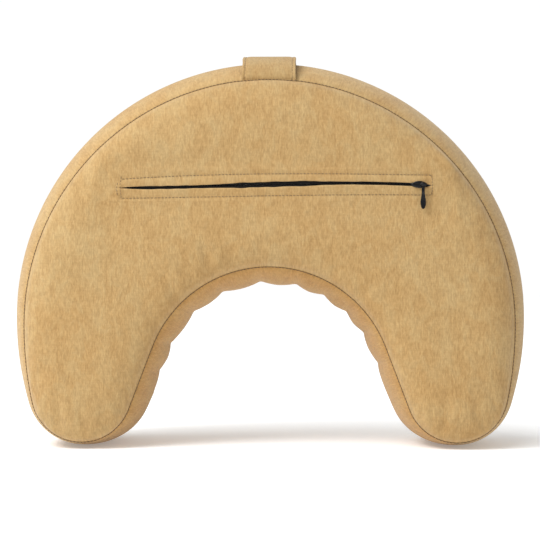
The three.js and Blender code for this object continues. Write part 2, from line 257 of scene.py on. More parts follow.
def path_length(pieces):
    return sum(length for length, at in pieces)


def along(pieces, distance):
    """Points and outward normals at distances from the lobe tip."""
    points = np.zeros((len(distance), 2))
    normals = np.zeros((len(distance), 2))
    begin = 0.0
    for index, (length, at) in enumerate(pieces):
        is_last = index == len(pieces) - 1
        here = (distance >= begin) & ((distance <= begin + length) | is_last)
        points[here], normals[here] = at(np.clip((distance[here] - begin) / length, 0, 1))
        begin += length
    return points, normals


def mirrored(signs, values):
    return np.stack([values[:, 0] * signs, values[:, 1]], -1)


LOBE_CORNER = math.radians(50)  # the face grid's corners on each lobe, from the lobe tip


class Outline:
    """The closed seam outline, cut into the grid's four sides: outer, arch and two lobe ends."""

    def __init__(self, sizes, long_cells, end_cells):
        self.outer, self.inner = half_paths(sizes)
        self.corner = sizes.lobe_radius * LOBE_CORNER
        spread = np.linspace(-1, 1, long_cells + 1)
        self.q = spread + 0.4 * np.sin(np.pi * spread) / np.pi
        signs = np.where(self.q < 0, -1.0, 1.0)
        sides = []
        for pieces in (self.inner, self.outer):
            total = path_length(pieces)
            distance = total - np.abs(self.q) * (total - self.corner)
            points, normals = along(pieces, distance)
            sides.append((mirrored(signs, points), mirrored(signs, normals), distance))
        self.arch_side, self.outer_side = sides
        even = np.linspace(0, 1, end_cells + 1)
        self.v = 0.62 * even + 0.38 * (1 - np.cos(np.pi * even)) / 2
        angle = -math.pi / 2 + LOBE_CORNER * (2 * self.v - 1)
        lobe = sizes.lobe_radius
        centre = np.array([OUTER_RADIUS - lobe - sizes.lobe_inset, SEAM_BOTTOM + lobe])
        direction = np.stack([np.cos(angle), np.sin(angle)], -1)
        self.right_end = centre + lobe * direction
        self.left_end = self.right_end * [-1, 1]
        self.end_normals = direction

    def face_grid(self):
        """Points of the flat face, from the arch (first) to the outer side (last)."""
        arch, outer = self.arch_side[0], self.outer_side[0]
        v = self.v[None, :, None]
        grid = arch[:, None] * (1 - v) + outer[:, None] * v
        u = (self.q + 1) / 2
        near_left = np.clip(1 - u / 0.16, 0, 1)[:, None, None] ** 2
        near_right = np.clip(1 - (1 - u) / 0.16, 0, 1)[:, None, None] ** 2
        grid += near_left * (self.left_end - grid[0])[None]
        grid += near_right * (self.right_end - grid[-1])[None]
        return grid


# ------------------------------------------------------------------ the inflated cover


CREASES = [math.radians(a) for a in (14, 31, 45, 60, 76, 95, 116, 135, 156, 170)]
PUCKERS = (  # soft folds of the faces above the arch: degrees, depth, half width, length
    (28, 0.0012, 2.6, 0.030), (45, 0.0014, 2.4, 0.034), (61, 0.0012, 2.2, 0.026),
    (78, 0.0010, 2.4, 0.028), (95, 0.0012, 2.3, 0.030), (107, 0.0016, 2.0, 0.036),
    (116, 0.0025, 2.1, 0.044), (125, 0.0015, 1.9, 0.034), (134, 0.0023, 2.3, 0.042),
    (148, 0.0013, 2.4, 0.032), (160, 0.0010, 2.8, 0.026))
CALM_ABOVE, CALM_BELOW = 0.017, 0.024  # the flat band above and below the zipper's line
CALM_FADE = 0.022


def smooth_step(low, high, value):
    share = np.clip((value - low) / (high - low), 0, 1)
    return share * share * (3 - 2 * share)


def puckers(x, z, sizes):
    """How deep the gathered arch seam draws the face in, in folds that run outwards from it."""
    from_x, from_z = x, z - SEAM_BOTTOM - sizes.lobe_radius
    angle = np.degrees(np.arctan2(from_z, from_x))
    above = np.hypot(from_x, from_z) - arch_radius(sizes)
    depth = np.zeros(len(x))
    for place, most, half_width, length in PUCKERS:
        lean = place + above / length * 3.0 * (1 if place < 90 else -1)
        across = np.exp(-((angle - lean) / half_width) ** 2) - 0.35 * np.exp(
            -((angle - lean) / (2.4 * half_width)) ** 2)
        fade = smooth_step(0.0, 0.008, above) * (1 - smooth_step(0.3 * length, length, above))
        depth += most * across * fade
    return depth


def zipper_calm(x, z):
    """1 on the flat band that the zipper and its hanging pull need, fading to 0 round it."""
    beyond_x = np.maximum(SLIT_LEFT - 0.012 - x, x - SLIT_RIGHT - 0.012)
    beyond_z = np.maximum(ZIP_Z - CALM_BELOW - z, z - ZIP_Z - CALM_ABOVE)
    beyond = np.hypot(np.maximum(beyond_x, 0), np.maximum(beyond_z, 0))
    return 1 - smooth_step(0, CALM_FADE, beyond)


def ripple(seed, count, shortest, longest):
    """A smooth wandering function of a distance, from a few sines with fixed random phases."""
    draw = np.random.default_rng(seed)
    waves = draw.uniform(shortest, longest, count)
    phases = draw.uniform(0, 2 * np.pi, count)
    def at(distance):
        total = sum(np.sin(2 * np.pi * distance / w + p) for w, p in zip(waves, phases))
        return total / math.sqrt(count)
    return at


class Cage:
    """One closed quad mesh: two face grids joined by a gusset that bulges between the seams."""

    def __init__(self, sizes, long_cells=168, end_cells=40, across=26, inset=0.0, half=HALF_SEAM,
                 crowns=(FACE_CROWN, FACE_CROWN), middle=MIDDLE_Y, fullness=0.0, floor=0.0):
        self.sizes = sizes
        self.nu, self.nv, self.nk = long_cells, end_cells, across
        self.outline = Outline(sizes, long_cells, end_cells)
        self.inset, self.half, self.crowns = inset, half, crowns
        self.middle, self.fullness, self.floor = middle, fullness, floor
        self.perimeter()
        self.build()

    def perimeter(self):
        """Grid places, points, normals and distances round the seam, clockwise from the left."""
        nu, nv, line = self.nu, self.nv, self.outline
        outer_total, arch_total = path_length(line.outer), path_length(line.inner)
        loop = [(i, nv) for i in range(nu + 1)] + [(nu, j) for j in range(nv - 1, -1, -1)]
        loop += [(i, 0) for i in range(nu - 1, -1, -1)] + [(0, j) for j in range(1, nv)]
        points, normals, shares, is_outer = [], [], [], []
        lobe_share = line.corner * (2 * line.v - 1)
        for i, j in loop:
            on_end = i in (0, nu) and 0 < j < nv
            side = -1.0 if i < nu / 2 else 1.0
            if on_end:
                points.append(line.left_end[j] if i == 0 else line.right_end[j])
                normals.append(line.end_normals[j] * [side, 1])
                outside = line.v[j] >= 0.5
                total = outer_total if outside else arch_total
                shares.append(abs(lobe_share[j]) / total)
            else:
                outside = j == nv
                edge = line.outer_side if outside else line.arch_side
                total = outer_total if outside else arch_total
                points.append(edge[0][i])
                normals.append(edge[1][i])
                shares.append(edge[2][i] / total)
            is_outer.append(outside)
        self.loop = loop
        self.rim = np.array(points)
        self.rim_normal = np.array(normals)
        self.share = np.array(shares)
        self.is_outer = np.array(is_outer)
        steps = np.linalg.norm(np.roll(self.rim, -1, 0) - self.rim, axis=1)
        self.distance = np.concatenate([[0], np.cumsum(steps)])

    def crease(self, angle):
        """Near 1 at each gather of the arch, falling off sharply to both sides."""
        near = np.min([np.abs(angle - a) for a in CREASES], 0)
        return np.exp(-near / math.radians(4.6))

    def face_depth(self, flat, crown, front):
        """How far a face stands out of its seam plane at flat points."""
        gap, nearest = self.nearest_rim(flat)
        share = np.clip(gap / self.sizes.rim_reach, 0, 1)
        depth = crown * (1 - (1 - share) ** 2.3) ** (1 / 2.1)
        tug = ripple(3 if front else 4, 6, 0.007, 0.016)(self.distance[nearest])
        depth += 0.00032 * tug * np.exp(-gap / 0.009) * (gap > 0)
        calm = zipper_calm(flat[:, 0], flat[:, 1]) if front else np.zeros(len(flat))
        wander = ripple(5 if front else 6, 7, 0.045, 0.13)(flat[:, 0] + 0.6 * flat[:, 1])
        depth += 0.0006 * share * wander
        return depth * (1 - calm) + crown * calm

    def nearest_rim(self, flat):
        rim = self.rim - self.inset * self.rim_normal
        gap = np.full(len(flat), np.inf)
        nearest = np.zeros(len(flat), int)
        for begin in range(0, len(rim), 64):
            part = rim[None, begin:begin + 64] - flat[:, None]
            distance = np.sqrt((part ** 2).sum(-1))
            best = distance.argmin(1)
            value = distance[np.arange(len(flat)), best]
            nearer = value < gap
            gap[nearer] = value[nearer]
            nearest[nearer] = best[nearer] + begin
        return gap, nearest

    def build(self):
        nu, nv, nk = self.nu, self.nv, self.nk
        flat = self.outline.face_grid().reshape(-1, 2)
        if self.inset:
            flat = self.shrunk(flat)
        count = len(flat)
        grid = np.arange(count).reshape(nu + 1, nv + 1)
        self.front, self.back = grid, grid + count
        rim_index = np.array([grid[i, j] for i, j in self.loop])
        flat[rim_index] = self.rim - self.inset * self.rim_normal
        rounds = len(self.loop)
        vertices = []
        for side, crown in ((FRONT, self.crowns[0]), (BACK, self.crowns[1])):
            depth = self.face_depth(flat, crown, side == FRONT)
            depth[rim_index] = 0
            y = self.middle + side * (self.half + depth)
            vertices.append(np.stack([flat[:, 0], y, flat[:, 1]], -1))
        start = 2 * count
        rows = [rim_index]
        even = np.linspace(-1, 1, nk + 1)
        self.w = 0.55 * even + 0.45 * np.sin(np.pi * even / 2)
        angle = np.arctan2(self.rim[:, 1] - SEAM_BOTTOM - self.sizes.lobe_radius, self.rim[:, 0])
        arch_zone = (~self.is_outer) & (self.share > 0.16)
        gather = self.crease(angle) * arch_zone
        sizes = self.sizes
        full = np.where(self.is_outer, sizes.top_bulge, sizes.arch_bulge)
        bulge = sizes.side_bulge + (full - sizes.side_bulge) * np.sin(self.share * np.pi / 2)
        bulge *= sizes.tip_share + (1 - sizes.tip_share) * smooth_step(0, 0.24, self.share)
        bulge += self.fullness
        for k in range(1, nk):
            w = self.w[k]
            profile = (1 - w * w) ** 0.72
            offset = bulge * profile * (1 - 0.28 * gather * (1 - 0.35 * w * w)) - self.inset
            ring = self.rim + self.rim_normal * offset[:, None]
            y = np.full(rounds, self.middle + w * self.half)
            z = np.maximum(ring[:, 1], self.floor)
            vertices.append(np.stack([ring[:, 0], y, z], -1))
            rows.append(np.arange(rounds) + start + (k - 1) * rounds)
        rows.append(rim_index + count)
        self.gusset = np.array(rows)  # rows from front to back, columns round the loop
        self.points = np.concatenate(vertices)
        self.faces = self.quads()

    def shrunk(self, flat):
        """The flat grid drawn in from the seam, most at the seam and less towards the middle."""
        nu, nv = self.nu, self.nv
        moved = flat.reshape(nu + 1, nv + 1, 2).copy()
        push = np.zeros_like(moved)
        for (i, j), normal in zip(self.loop, self.rim_normal):
            push[i, j] = normal
        v = self.outline.v[None, :, None]
        inside = push[:, :1] * (1 - v) + push[:, -1:] * v
        moved -= self.inset * inside
        return moved.reshape(-1, 2)

    def quads(self):
        faces = []
        for grid, flip in ((self.front, False), (self.back, True)):
            faces.append(grid_faces(grid, flip))
        rows = self.gusset
        ring = np.concatenate([rows, rows[:, :1]], 1)
        faces.append(grid_faces(ring.T, False))
        return np.concatenate(faces)


def grid_faces(grid, flip):
    """Quads of an index grid, wound so that first axis to second axis turns about the normal."""
    a, b = grid[:-1, :-1], grid[1:, :-1]
    c, d = grid[1:, 1:], grid[:-1, 1:]
    order = (a, d, c, b) if flip else (a, b, c, d)
    return np.stack([corner.ravel() for corner in order], -1)


# ------------------------------------------------------------------ meshes and small helpers


def deselect():
    for item in bpy.context.view_layer.objects.selected[:]:
        item.select_set(False)


def activate(piece):
    deselect()
    piece.select_set(True)
    bpy.context.view_layer.objects.active = piece


def mesh_object(name, points, faces, uv=None):
    """A smooth-shaded object from arrays; uv holds a point for each vertex."""
    mesh = bpy.data.meshes.new(name)
    quads = faces.tolist() if isinstance(faces, np.ndarray) else faces
    mesh.from_pydata(np.asarray(points).tolist(), [], quads)
    mesh.update()
    if uv is not None:
        layer = mesh.uv_layers.new(name="cloth")
        corner = np.zeros(len(mesh.loops), np.int32)
        mesh.loops.foreach_get("vertex_index", corner)
        layer.data.foreach_set("uv", np.asarray(uv, np.float32)[corner].ravel())
    piece = bpy.data.objects.new(name, mesh)
    bpy.context.scene.collection.objects.link(piece)
    smooth(piece)
    return piece


def smooth(piece):
    piece.data.polygons.foreach_set("use_smooth", [True] * len(piece.data.polygons))


def apply_modifier(piece, kind, **values):
    modifier = piece.modifiers.new(kind.title(), kind)
    for key, value in values.items():
        setattr(modifier, key, value)
    activate(piece)
    bpy.ops.object.modifier_apply(modifier=modifier.name)


def in_edit_mode(piece):
    activate(piece)
    bpy.ops.object.mode_set(mode="EDIT")


def leave_edit_mode():
    bpy.ops.object.mode_set(mode="OBJECT")


def outward_normals(piece, merge=True):
    in_edit_mode(piece)
    bpy.ops.mesh.select_all(action="SELECT")
    if merge:
        bpy.ops.mesh.remove_doubles(threshold=1e-6)
    bpy.ops.mesh.normals_make_consistent(inside=False)
    leave_edit_mode()


def vertex_array(piece):
    points = np.zeros(len(piece.data.vertices) * 3)
    piece.data.vertices.foreach_get("co", points)
    return points.reshape(-1, 3)


def set_vertices(piece, points):
    piece.data.vertices.foreach_set("co", np.asarray(points, np.float32).ravel())
    piece.data.update()


def dress(piece, body, slot, material, *nodes):
    """Gives a finished piece its material and its place in the frame."""
    piece.data.materials.clear()
    piece.data.materials.append(material)
    if body:
        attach(piece, body)
    if nodes:
        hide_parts(*nodes)
    return piece


def swept(path, across, upwards, profile):
    """Points and faces of a closed profile carried along a path, with flat ends."""
    rings = (path[:, None] + profile[None, :, :1] * across[:, None]
             + profile[None, :, 1:] * upwards[:, None])
    steps, around = len(path), len(profile)
    index = np.arange(steps * around).reshape(steps, around)
    ring = np.concatenate([index, index[:, :1]], 1)
    faces = grid_faces(ring, True).tolist()
    faces += [index[0, ::-1].tolist(), index[-1].tolist()]
    return rings.reshape(-1, 3), faces


def joined(parts):
    """One list of points and one of faces from several pairs."""
    points, faces, start = [], [], 0
    for part_points, part_faces in parts:
        points.append(np.asarray(part_points))
        faces += [[corner + start for corner in face] for face in part_faces]
        start += len(part_points)
    return np.concatenate(points), faces


def stitch_template(length, radius):
    """One stitch lying along +X: a plump thread whose two ends dive into the cloth."""
    places = np.array([-0.5, -0.36, 0, 0.36, 0.5])
    widths = np.array([0.45, 0.95, 1.1, 0.95, 0.45]) * radius
    lifts = np.array([-1.6, -0.1, 0.45, -0.1, -1.6]) * radius
    angles = np.linspace(0, 2 * np.pi, 6, endpoint=False)
    points = [[place * length, width * math.cos(a), lift + width * math.sin(a)]
              for place, width, lift in zip(places, widths, lifts) for a in angles]
    index = np.arange(30).reshape(5, 6)
    ring = np.concatenate([index, index[:, :1]], 1)
    faces = grid_faces(ring, False).tolist()
    faces += [index[0].tolist(), index[-1, ::-1].tolist()]
    return np.array(points), faces


def stitch_run(centres, tangents, normals, sizes, jitter=0.0, seed=1):
    """Stitches at the given places, each lying along its tangent on its normal."""
    template, faces = stitch_template(sizes.length, sizes.thread / 2)
    draw = np.random.default_rng(seed)
    tangents = tangents / np.linalg.norm(tangents, axis=1)[:, None]
    normals = normals - (normals * tangents).sum(1)[:, None] * tangents
    normals = normals / np.linalg.norm(normals, axis=1)[:, None]
    sideways = np.cross(normals, tangents)
    turn = draw.normal(0, jitter, len(centres))[:, None]
    tangents, sideways = tangents + sideways * turn, sideways - tangents * turn
    points = (centres[:, None] + template[None, :, :1] * tangents[:, None]
              + template[None, :, 1:2] * sideways[:, None]
              + template[None, :, 2:] * normals[:, None])
    count = len(template)
    all_faces = [[corner + k * count for corner in face]
                 for k in range(len(centres)) for face in faces]
    return points.reshape(-1, 3), all_faces


def evenly_along(points, pitch, start=0.5):
    """Places and directions at even steps along an open line of points."""
    steps = np.linalg.norm(np.diff(points, axis=0), axis=1)
    distance = np.concatenate([[0], np.cumsum(steps)])
    count = max(1, int(round(distance[-1] / pitch)))
    wanted = (np.arange(count) + start) * distance[-1] / count
    places = np.stack([np.interp(wanted, distance, points[:, k]) for k in range(3)], -1)
    ahead = np.stack([np.interp(wanted + 0.0005, distance, points[:, k]) for k in range(3)], -1)
    behind = np.stack([np.interp(wanted - 0.0005, distance, points[:, k]) for k in range(3)], -1)
    return places, ahead - behind, wanted / distance[-1]


# ------------------------------------------------------------------ cloth simulation


def swell_limit(points, sizes):
    """How far each point of the cover may move; the zipper, strap and feet keep their places."""
    x, y, z = points.T
    limit = np.full(len(points), sizes.swell_limit)
    on_front = y < MIDDLE_Y - HALF_SEAM
    limit *= np.where(on_front, 1 - zipper_calm(x, z), 1)
    by_strap = (1 - smooth_step(0.028, 0.05, np.abs(x))) * smooth_step(0.3, 0.318, z)
    limit *= 1 - 0.85 * by_strap
    limit *= smooth_step(0.0005, 0.014, z)
    return limit


def inflate(cage, sizes):
    """Presses the filling against the cloth between its seams and keeps the folds that form."""
    start = cage.points
    shell = mesh_object("pressed_shell", start, cage.faces)
    limit = swell_limit(start, sizes)
    seams = np.zeros(len(start), bool)
    seams[cage.gusset[0]] = seams[cage.gusset[-1]] = True
    pins = shell.vertex_groups.new(name="held")
    for index in np.flatnonzero(seams | (limit < 0.0004)):
        pins.add([int(index)], 1.0, "REPLACE")
    slack = shell.vertex_groups.new(name="spare_cloth")
    from_arch = np.hypot(start[:, 0], start[:, 2] - SEAM_BOTTOM - sizes.lobe_radius)
    near_arch = 1 - smooth_step(0.0, 0.03, from_arch - arch_radius(sizes))
    for index, weight in enumerate(0.3 + 0.7 * near_arch):
        slack.add([index], float(weight), "REPLACE")
    cloth = shell.modifiers.new("Cloth", "CLOTH")
    settings = cloth.settings
    settings.quality = 6
    settings.mass = 0.25
    settings.tension_stiffness = 30
    settings.compression_stiffness = 12
    settings.shear_stiffness = 8
    settings.bending_stiffness = 0.35
    settings.vertex_group_mass = "held"
    settings.vertex_group_shrink = "spare_cloth"
    settings.shrink_min = -0.0
    settings.shrink_max = -0.075
    settings.use_pressure = True
    settings.uniform_pressure_force = sizes.pressure
    settings.effector_weights.gravity = 0
    cloth.point_cache.frame_start = 1
    cloth.point_cache.frame_end = sizes.frames
    scene = bpy.context.scene
    for number in range(1, sizes.frames + 1):
        scene.frame_set(number)
    pressed = shell.evaluated_get(bpy.context.evaluated_depsgraph_get()).to_mesh()
    moved = np.zeros(len(start) * 3)
    pressed.vertices.foreach_get("co", moved)
    shift = moved.reshape(-1, 3) - start
    shell.modifiers.remove(cloth)
    mesh = shell.data
    bpy.data.objects.remove(shell)
    bpy.data.meshes.remove(mesh)
    scene.frame_set(1)
    length = np.linalg.norm(shift, axis=1)
    allowed = limit * np.tanh(length / np.maximum(limit, 1e-6))
    shift *= (allowed / np.maximum(length, 1e-9))[:, None]
    shift = settle(cage, shift)
    result = start + shift
    result[:, 2] = np.maximum(result[:, 2], 0)
    return result


def pucker_faces(cage, points):
    """Presses the folds above the arch into both faces."""
    points = points.copy()
    for grid, side in ((cage.front, FRONT), (cage.back, BACK)):
        index = grid.ravel()
        x, _, z = points[index].T
        calm = zipper_calm(x, z) if side == FRONT else 0
        points[index, 1] -= side * puckers(x, z, cage.sizes) * (1 - calm)
    return points


def settle(cage, shift):
    """Takes most of the even swelling out of a movement, so that the folds are what stays."""
    size = len(shift)
    pairs = np.concatenate([cage.faces[:, [0, 1]], cage.faces[:, [1, 2]],
                            cage.faces[:, [2, 3]], cage.faces[:, [3, 0]]])
    degree = np.bincount(pairs[:, 0], minlength=size)[:, None]
    broad = shift.copy()
    for _ in range(60):
        total = np.stack([np.bincount(pairs[:, 0], broad[pairs[:, 1], k], size)
                          for k in range(3)], -1)
        broad = 0.3 * broad + 0.7 * total / degree
    return shift - 0.75 * broad


# ------------------------------------------------------------------ the zipper's slit


def slit_bow(x):
    """The slit's middle line sags a little towards both ends."""
    return ZIP_Z + curve_through(x, (-0.1285, -0.06, 0.009, 0.08, 0.142),
                                 (-0.0026, -0.0013, 0.0001, 0.0016, -0.0011))


def stitch_row_above(x):
    return ZIP_Z + curve_through(x, (-0.128, -0.082, 0.009, 0.07, 0.14),
                                 (0.0050, 0.0075, 0.0095, 0.0093, 0.0082))


def stitch_row_below(x):
    return ZIP_Z + curve_through(x, (-0.128, -0.063, 0.009, 0.07, 0.14),
                                 (-0.0118, -0.0104, -0.0099, -0.0085, -0.0092))


def curve_through(x, places, values):
    """A smooth cubic close to the given values."""
    return np.polyval(np.polyfit(places, values, 3), np.clip(x, places[0], places[-1]))


def slit_half_gap(x, sizes):
    wide = smooth_step(-0.055, -0.02, x) * (1 - smooth_step(0.026, 0.062, x))
    half = (sizes.gap + (sizes.wide_gap - sizes.gap) * wide) / 2
    half = half * (1 + 0.08 * ripple(11, 5, 0.012, 0.04)(x))
    half = half * smooth_step(-0.003, 0.022, x - SLIT_LEFT) ** 0.7
    return half * smooth_step(-0.001, 0.004, SLIT_RIGHT - x) + 0.00008


WINDOW_REACH = 0.010  # the sewn-in zipper patch beyond the slit's ends
WINDOW_HALF = 0.014
PULLED_IN = 0.0008  # how deep the stitch rows draw the cloth
LIP_ROWS = {  # for each lip: metres back from the fold, and out of the face (negative is outwards)
    1: ((0.0050, -0.00008), (0.0027, -0.00022), (0.0012, -0.00029), (0.00045, -0.00020),
        (0.00012, 0.00010)),
    -1: ((0.0050, 0.00018), (0.0029, -0.00006), (0.00145, -0.00027), (0.0007, -0.00016),
         (0.00015, 0.00034))}


def zipper_patch(sizes):
    """The strip of the front face round the slit, with both edges folded in behind."""
    left, right = SLIT_LEFT - WINDOW_REACH, SLIT_RIGHT + WINDOW_REACH
    columns = np.concatenate([
        np.linspace(left, SLIT_LEFT, 7)[:-1],
        np.linspace(SLIT_LEFT, SLIT_RIGHT, 134)[:-1],
        np.linspace(SLIT_RIGHT, right, 7)])
    middle = slit_bow(columns)
    inside = (columns > SLIT_LEFT - 1e-9) & (columns < SLIT_RIGHT + 1e-9)
    half = np.where(inside, slit_half_gap(columns, sizes), 0)
    beyond = np.maximum(np.maximum(SLIT_LEFT - columns, columns - SLIT_RIGHT), 0)
    shaped = np.exp(-beyond / 0.0035)
    wave = 1 + 0.35 * ripple(12, 6, 0.014, 0.05)(columns)
    points, index = [], {}

    def place(side, row, z, out):
        for c, x in enumerate(columns):
            index[side, row, c] = len(points)
            points.append((x, FACE_Y + out[c], z[c]))

    flat = np.zeros(len(columns))
    for side, stitched in ((1, stitch_row_above(columns)), (-1, stitch_row_below(columns))):
        fold = middle + side * half
        edge = np.full(len(columns), ZIP_Z + side * WINDOW_HALF)
        place(side, 0, edge, flat)
        deep = PULLED_IN * shaped
        place(side, 1, stitched + side * 0.0023, flat + 0.2 * deep)
        place(side, 2, stitched + side * 0.0008, flat + 0.8 * deep)
        place(side, 3, stitched, flat + deep)
        place(side, 4, stitched - side * 0.0008, flat + 0.8 * deep)
        for number, (back, out) in enumerate(LIP_ROWS[side]):
            roll = 1 + 0.25 * (wave - 1) if number < 3 else 1
            place(side, 5 + number, fold + side * back, flat + out * shaped * roll)
        if side == 1:
            fold_out = 0.0005 * shaped * inside
            place(0, 0, middle, fold_out)
        place(side, 10, fold, flat + 0.0006)
        place(side, 11, fold + side * 0.0002, flat + 0.00115)
        place(side, 12, fold + side * 0.0008, flat + 0.00142)
        place(side, 13, fold + side * 0.0052, flat + 0.00142)
    last = len(columns) - 1
    first_open, last_open = np.flatnonzero(inside)[[0, -1]]

    def corner(side, row, c):
        is_open = first_open < c < last_open
        if row == 10 and not is_open:
            return index[0, 0, c]
        return index[side, row, c]

    faces = []
    for side in (1, -1):
        for c in range(last):
            is_open = c >= first_open and c + 1 <= last_open
            for row in range(13 if is_open else 10):
                quad = [corner(side, row + 1, c), corner(side, row + 1, c + 1),
                        corner(side, row, c + 1), corner(side, row, c)]
                faces.append(quad if side == 1 else quad[::-1])
    used = sorted({v for face in faces for v in face})
    renumber = {old: new for new, old in enumerate(used)}
    kept = np.array(points)[used]
    return kept, [[renumber[v] for v in face] for face in faces]


def cut_and_patch(panel_points, panel_faces, sizes):
    """The front panel with the zipper patch set into a hole of its own size."""
    mesh = bpy.data.meshes.new("patched_panel")
    mesh.from_pydata(panel_points.tolist(), [], panel_faces)
    bm = bmesh.new()
    bm.from_mesh(mesh)
    reach = 0.001
    left, right = SLIT_LEFT - WINDOW_REACH - reach, SLIT_RIGHT + WINDOW_REACH + reach
    low, high = ZIP_Z - WINDOW_HALF - reach, ZIP_Z + WINDOW_HALF + reach

    def near(face, margin):
        centre = face.calc_center_median()
        return (left - margin < centre.x < right + margin
                and low - margin < centre.z < high + margin and centre.y < FACE_Y + 0.004)

    cuts = (((left, 0, 0), (1, 0, 0)), ((right, 0, 0), (1, 0, 0)),
            ((0, 0, low), (0, 0, 1)), ((0, 0, high), (0, 0, 1)))
    for place, normal in cuts:
        chosen = [f for f in bm.faces if near(f, 0.009)]
        edges = {e for f in chosen for e in f.edges}
        corners = {v for f in chosen for v in f.verts}
        bmesh.ops.bisect_plane(bm, geom=list(corners) + list(edges) + chosen, dist=1e-6,
                               plane_co=place, plane_no=normal)
    bmesh.ops.delete(bm, geom=[f for f in bm.faces if near(f, 0)], context="FACES")
    hole = [e for e in bm.edges if e.is_boundary and near_window(e, left, right, low, high)]
    patch_points, patch_faces = zipper_patch(sizes)
    fresh = [bm.verts.new(point) for point in patch_points]
    for face in patch_faces:
        bm.faces.new([fresh[v] for v in face])
    bm.edges.index_update()
    outline = [e for e in {e for v in fresh for e in v.link_edges} if e.is_boundary
               and on_patch_edge(e, left + reach, right - reach, low + reach, high - reach)]
    outline.sort(key=lambda e: e.index)
    bmesh.ops.bridge_loops(bm, edges=hole + outline)
    bm.normal_update()
    bm.to_mesh(mesh)
    bm.free()
    return mesh


def near_window(edge, left, right, low, high):
    inside = [left - 1e-5 < v.co.x < right + 1e-5 and low - 1e-5 < v.co.z < high + 1e-5
              and v.co.y < FACE_Y + 0.002 for v in edge.verts]
    return all(inside)


def on_patch_edge(edge, left, right, low, high):
    def on_side(v):
        sides = (v.co.x - left, v.co.x - right, v.co.z - low, v.co.z - high)
        return v.co.y < FACE_Y + 0.0007 and min(abs(gap) for gap in sides) < 1e-5
    return all(on_side(v) for v in edge.verts)


# ------------------------------------------------------------------ cover panels


def unit(vectors):
    return vectors / np.maximum(np.linalg.norm(vectors, axis=-1, keepdims=True), 1e-12)


def turned_in(cage, side, towards_middle):
    """Direction of a seam allowance at each place round the seam."""
    inwards = -cage.rim_normal * math.sqrt(1 - towards_middle ** 2)
    depth = np.full(len(inwards), -side * towards_middle)
    return np.stack([inwards[:, 0], depth, inwards[:, 1]], -1)


ALLOWANCE = (0.0014, 0.0048)


def face_panel(cage, points, side):
    """Points and quads of a face with its seam allowance turned in all round."""
    grid = cage.front if side == FRONT else cage.back
    offset = grid.min()
    count = grid.size
    body = points[offset:offset + count]
    rim = np.array([grid[i, j] - offset for i, j in cage.loop])
    turn = turned_in(cage, side, 0.5)
    parts = [body]
    rows = [rim]
    for number, reach in enumerate(ALLOWANCE):
        parts.append(body[rim] + turn * reach)
        rows.append(np.arange(len(rim)) + count + number * len(rim))
    rows = np.array(rows)
    ring = np.concatenate([rows, rows[:, :1]], 1)
    faces = np.concatenate([grid_faces(grid - offset, side == BACK),
                            grid_faces(ring.T, side == FRONT)])
    return np.concatenate(parts), faces


def gusset_panel(cage, points, outer):
    """Points, quads and cloth coordinates of the outer or the arch gusset."""
    loop_size = len(cage.loop)
    tips = [n for n, (i, j) in enumerate(cage.loop) if j == cage.nv // 2 and i in (0, cage.nu)]
    right_tip, left_tip = sorted(tips)
    begin, end = (left_tip, right_tip + loop_size) if outer else (right_tip, left_tip)
    columns = np.arange(begin, end + 1) % loop_size
    steps = np.arange(begin, end + 1)
    along_seam = cage.distance[columns] + (steps >= loop_size) * cage.distance[-1]
    rows = points[cage.gusset[:, columns]]
    front_turn = turned_in(cage, FRONT, 0.88)[columns]
    back_turn = turned_in(cage, BACK, 0.88)[columns]
    near, far = ALLOWANCE
    rows = np.concatenate([
        (rows[:1] + front_turn * far), (rows[:1] + front_turn * near), rows,
        (rows[-1:] + back_turn * near), (rows[-1:] + back_turn * far)])
    gaps = np.linalg.norm(np.diff(rows, axis=0), axis=2).mean(1)
    across = np.concatenate([[0], np.cumsum(gaps)])
    index = np.arange(rows.shape[0] * rows.shape[1]).reshape(rows.shape[:2])
    faces = grid_faces(index.T, False)
    uv = np.stack(np.broadcast_arrays(along_seam[None], across[:, None]), -1)
    return rows.reshape(-1, 3), faces, uv.reshape(-1, 2)


def finish_cloth(piece, thickness, levels=1):
    if levels:
        apply_modifier(piece, "SUBSURF", levels=levels, render_levels=levels)
    apply_modifier(piece, "SOLIDIFY", thickness=thickness, offset=-1)
    smooth(piece)


def flat_cloth_map(piece):
    """Cloth coordinates of a face panel: its own plane, in metres."""
    mesh = piece.data
    layer = mesh.uv_layers.get("cloth") or mesh.uv_layers.new(name="cloth")
    corner = np.zeros(len(mesh.loops), np.int32)
    mesh.loops.foreach_get("vertex_index", corner)
    layer.data.foreach_set("uv", vertex_array(piece)[corner][:, [0, 2]].astype(np.float32).ravel())


def seam_line(cage, points, row):
    """The seam's line, stepping out round the strap's foot, which is caught in the seam; the dark
    tube drawn along it there is painted shade at the strap's foot.
    """
    rim = points[cage.gusset[row]].copy()
    foot = STRAP_BOX[0].y + 0.0002 if row == 0 else STRAP_BOX[1].y - 0.0002
    by_strap = (1 - smooth_step(STRAP_HALF - 0.0002, STRAP_HALF + 0.0014, np.abs(rim[:, 0])))
    by_strap *= rim[:, 2] > SEAM_TOP - 0.02
    rim[:, 1] += (foot - rim[:, 1]) * by_strap
    rim[:, 2] -= 0.0005 * by_strap
    return rim


def seam_stitches(cage, points, row, sizes, seed):
    """Small stitches lying in the ditch between a face and the gusset."""
    rim = seam_line(cage, points, row)
    closed = np.concatenate([rim, rim[:1]])
    places, directions, _ = evenly_along(closed, sizes.pitch)
    side = FRONT if row == 0 else BACK
    facing = np.full(len(rim), side * 0.9)
    outwards = np.stack([cage.rim_normal[:, 0], facing, cage.rim_normal[:, 1]], -1)
    nearest = np.array([np.argmin(((rim - place) ** 2).sum(1)) for place in places])
    normals = unit(outwards[nearest])
    return stitch_run(places + normals * 0.0004, directions, normals, sizes, 0.05, seed)


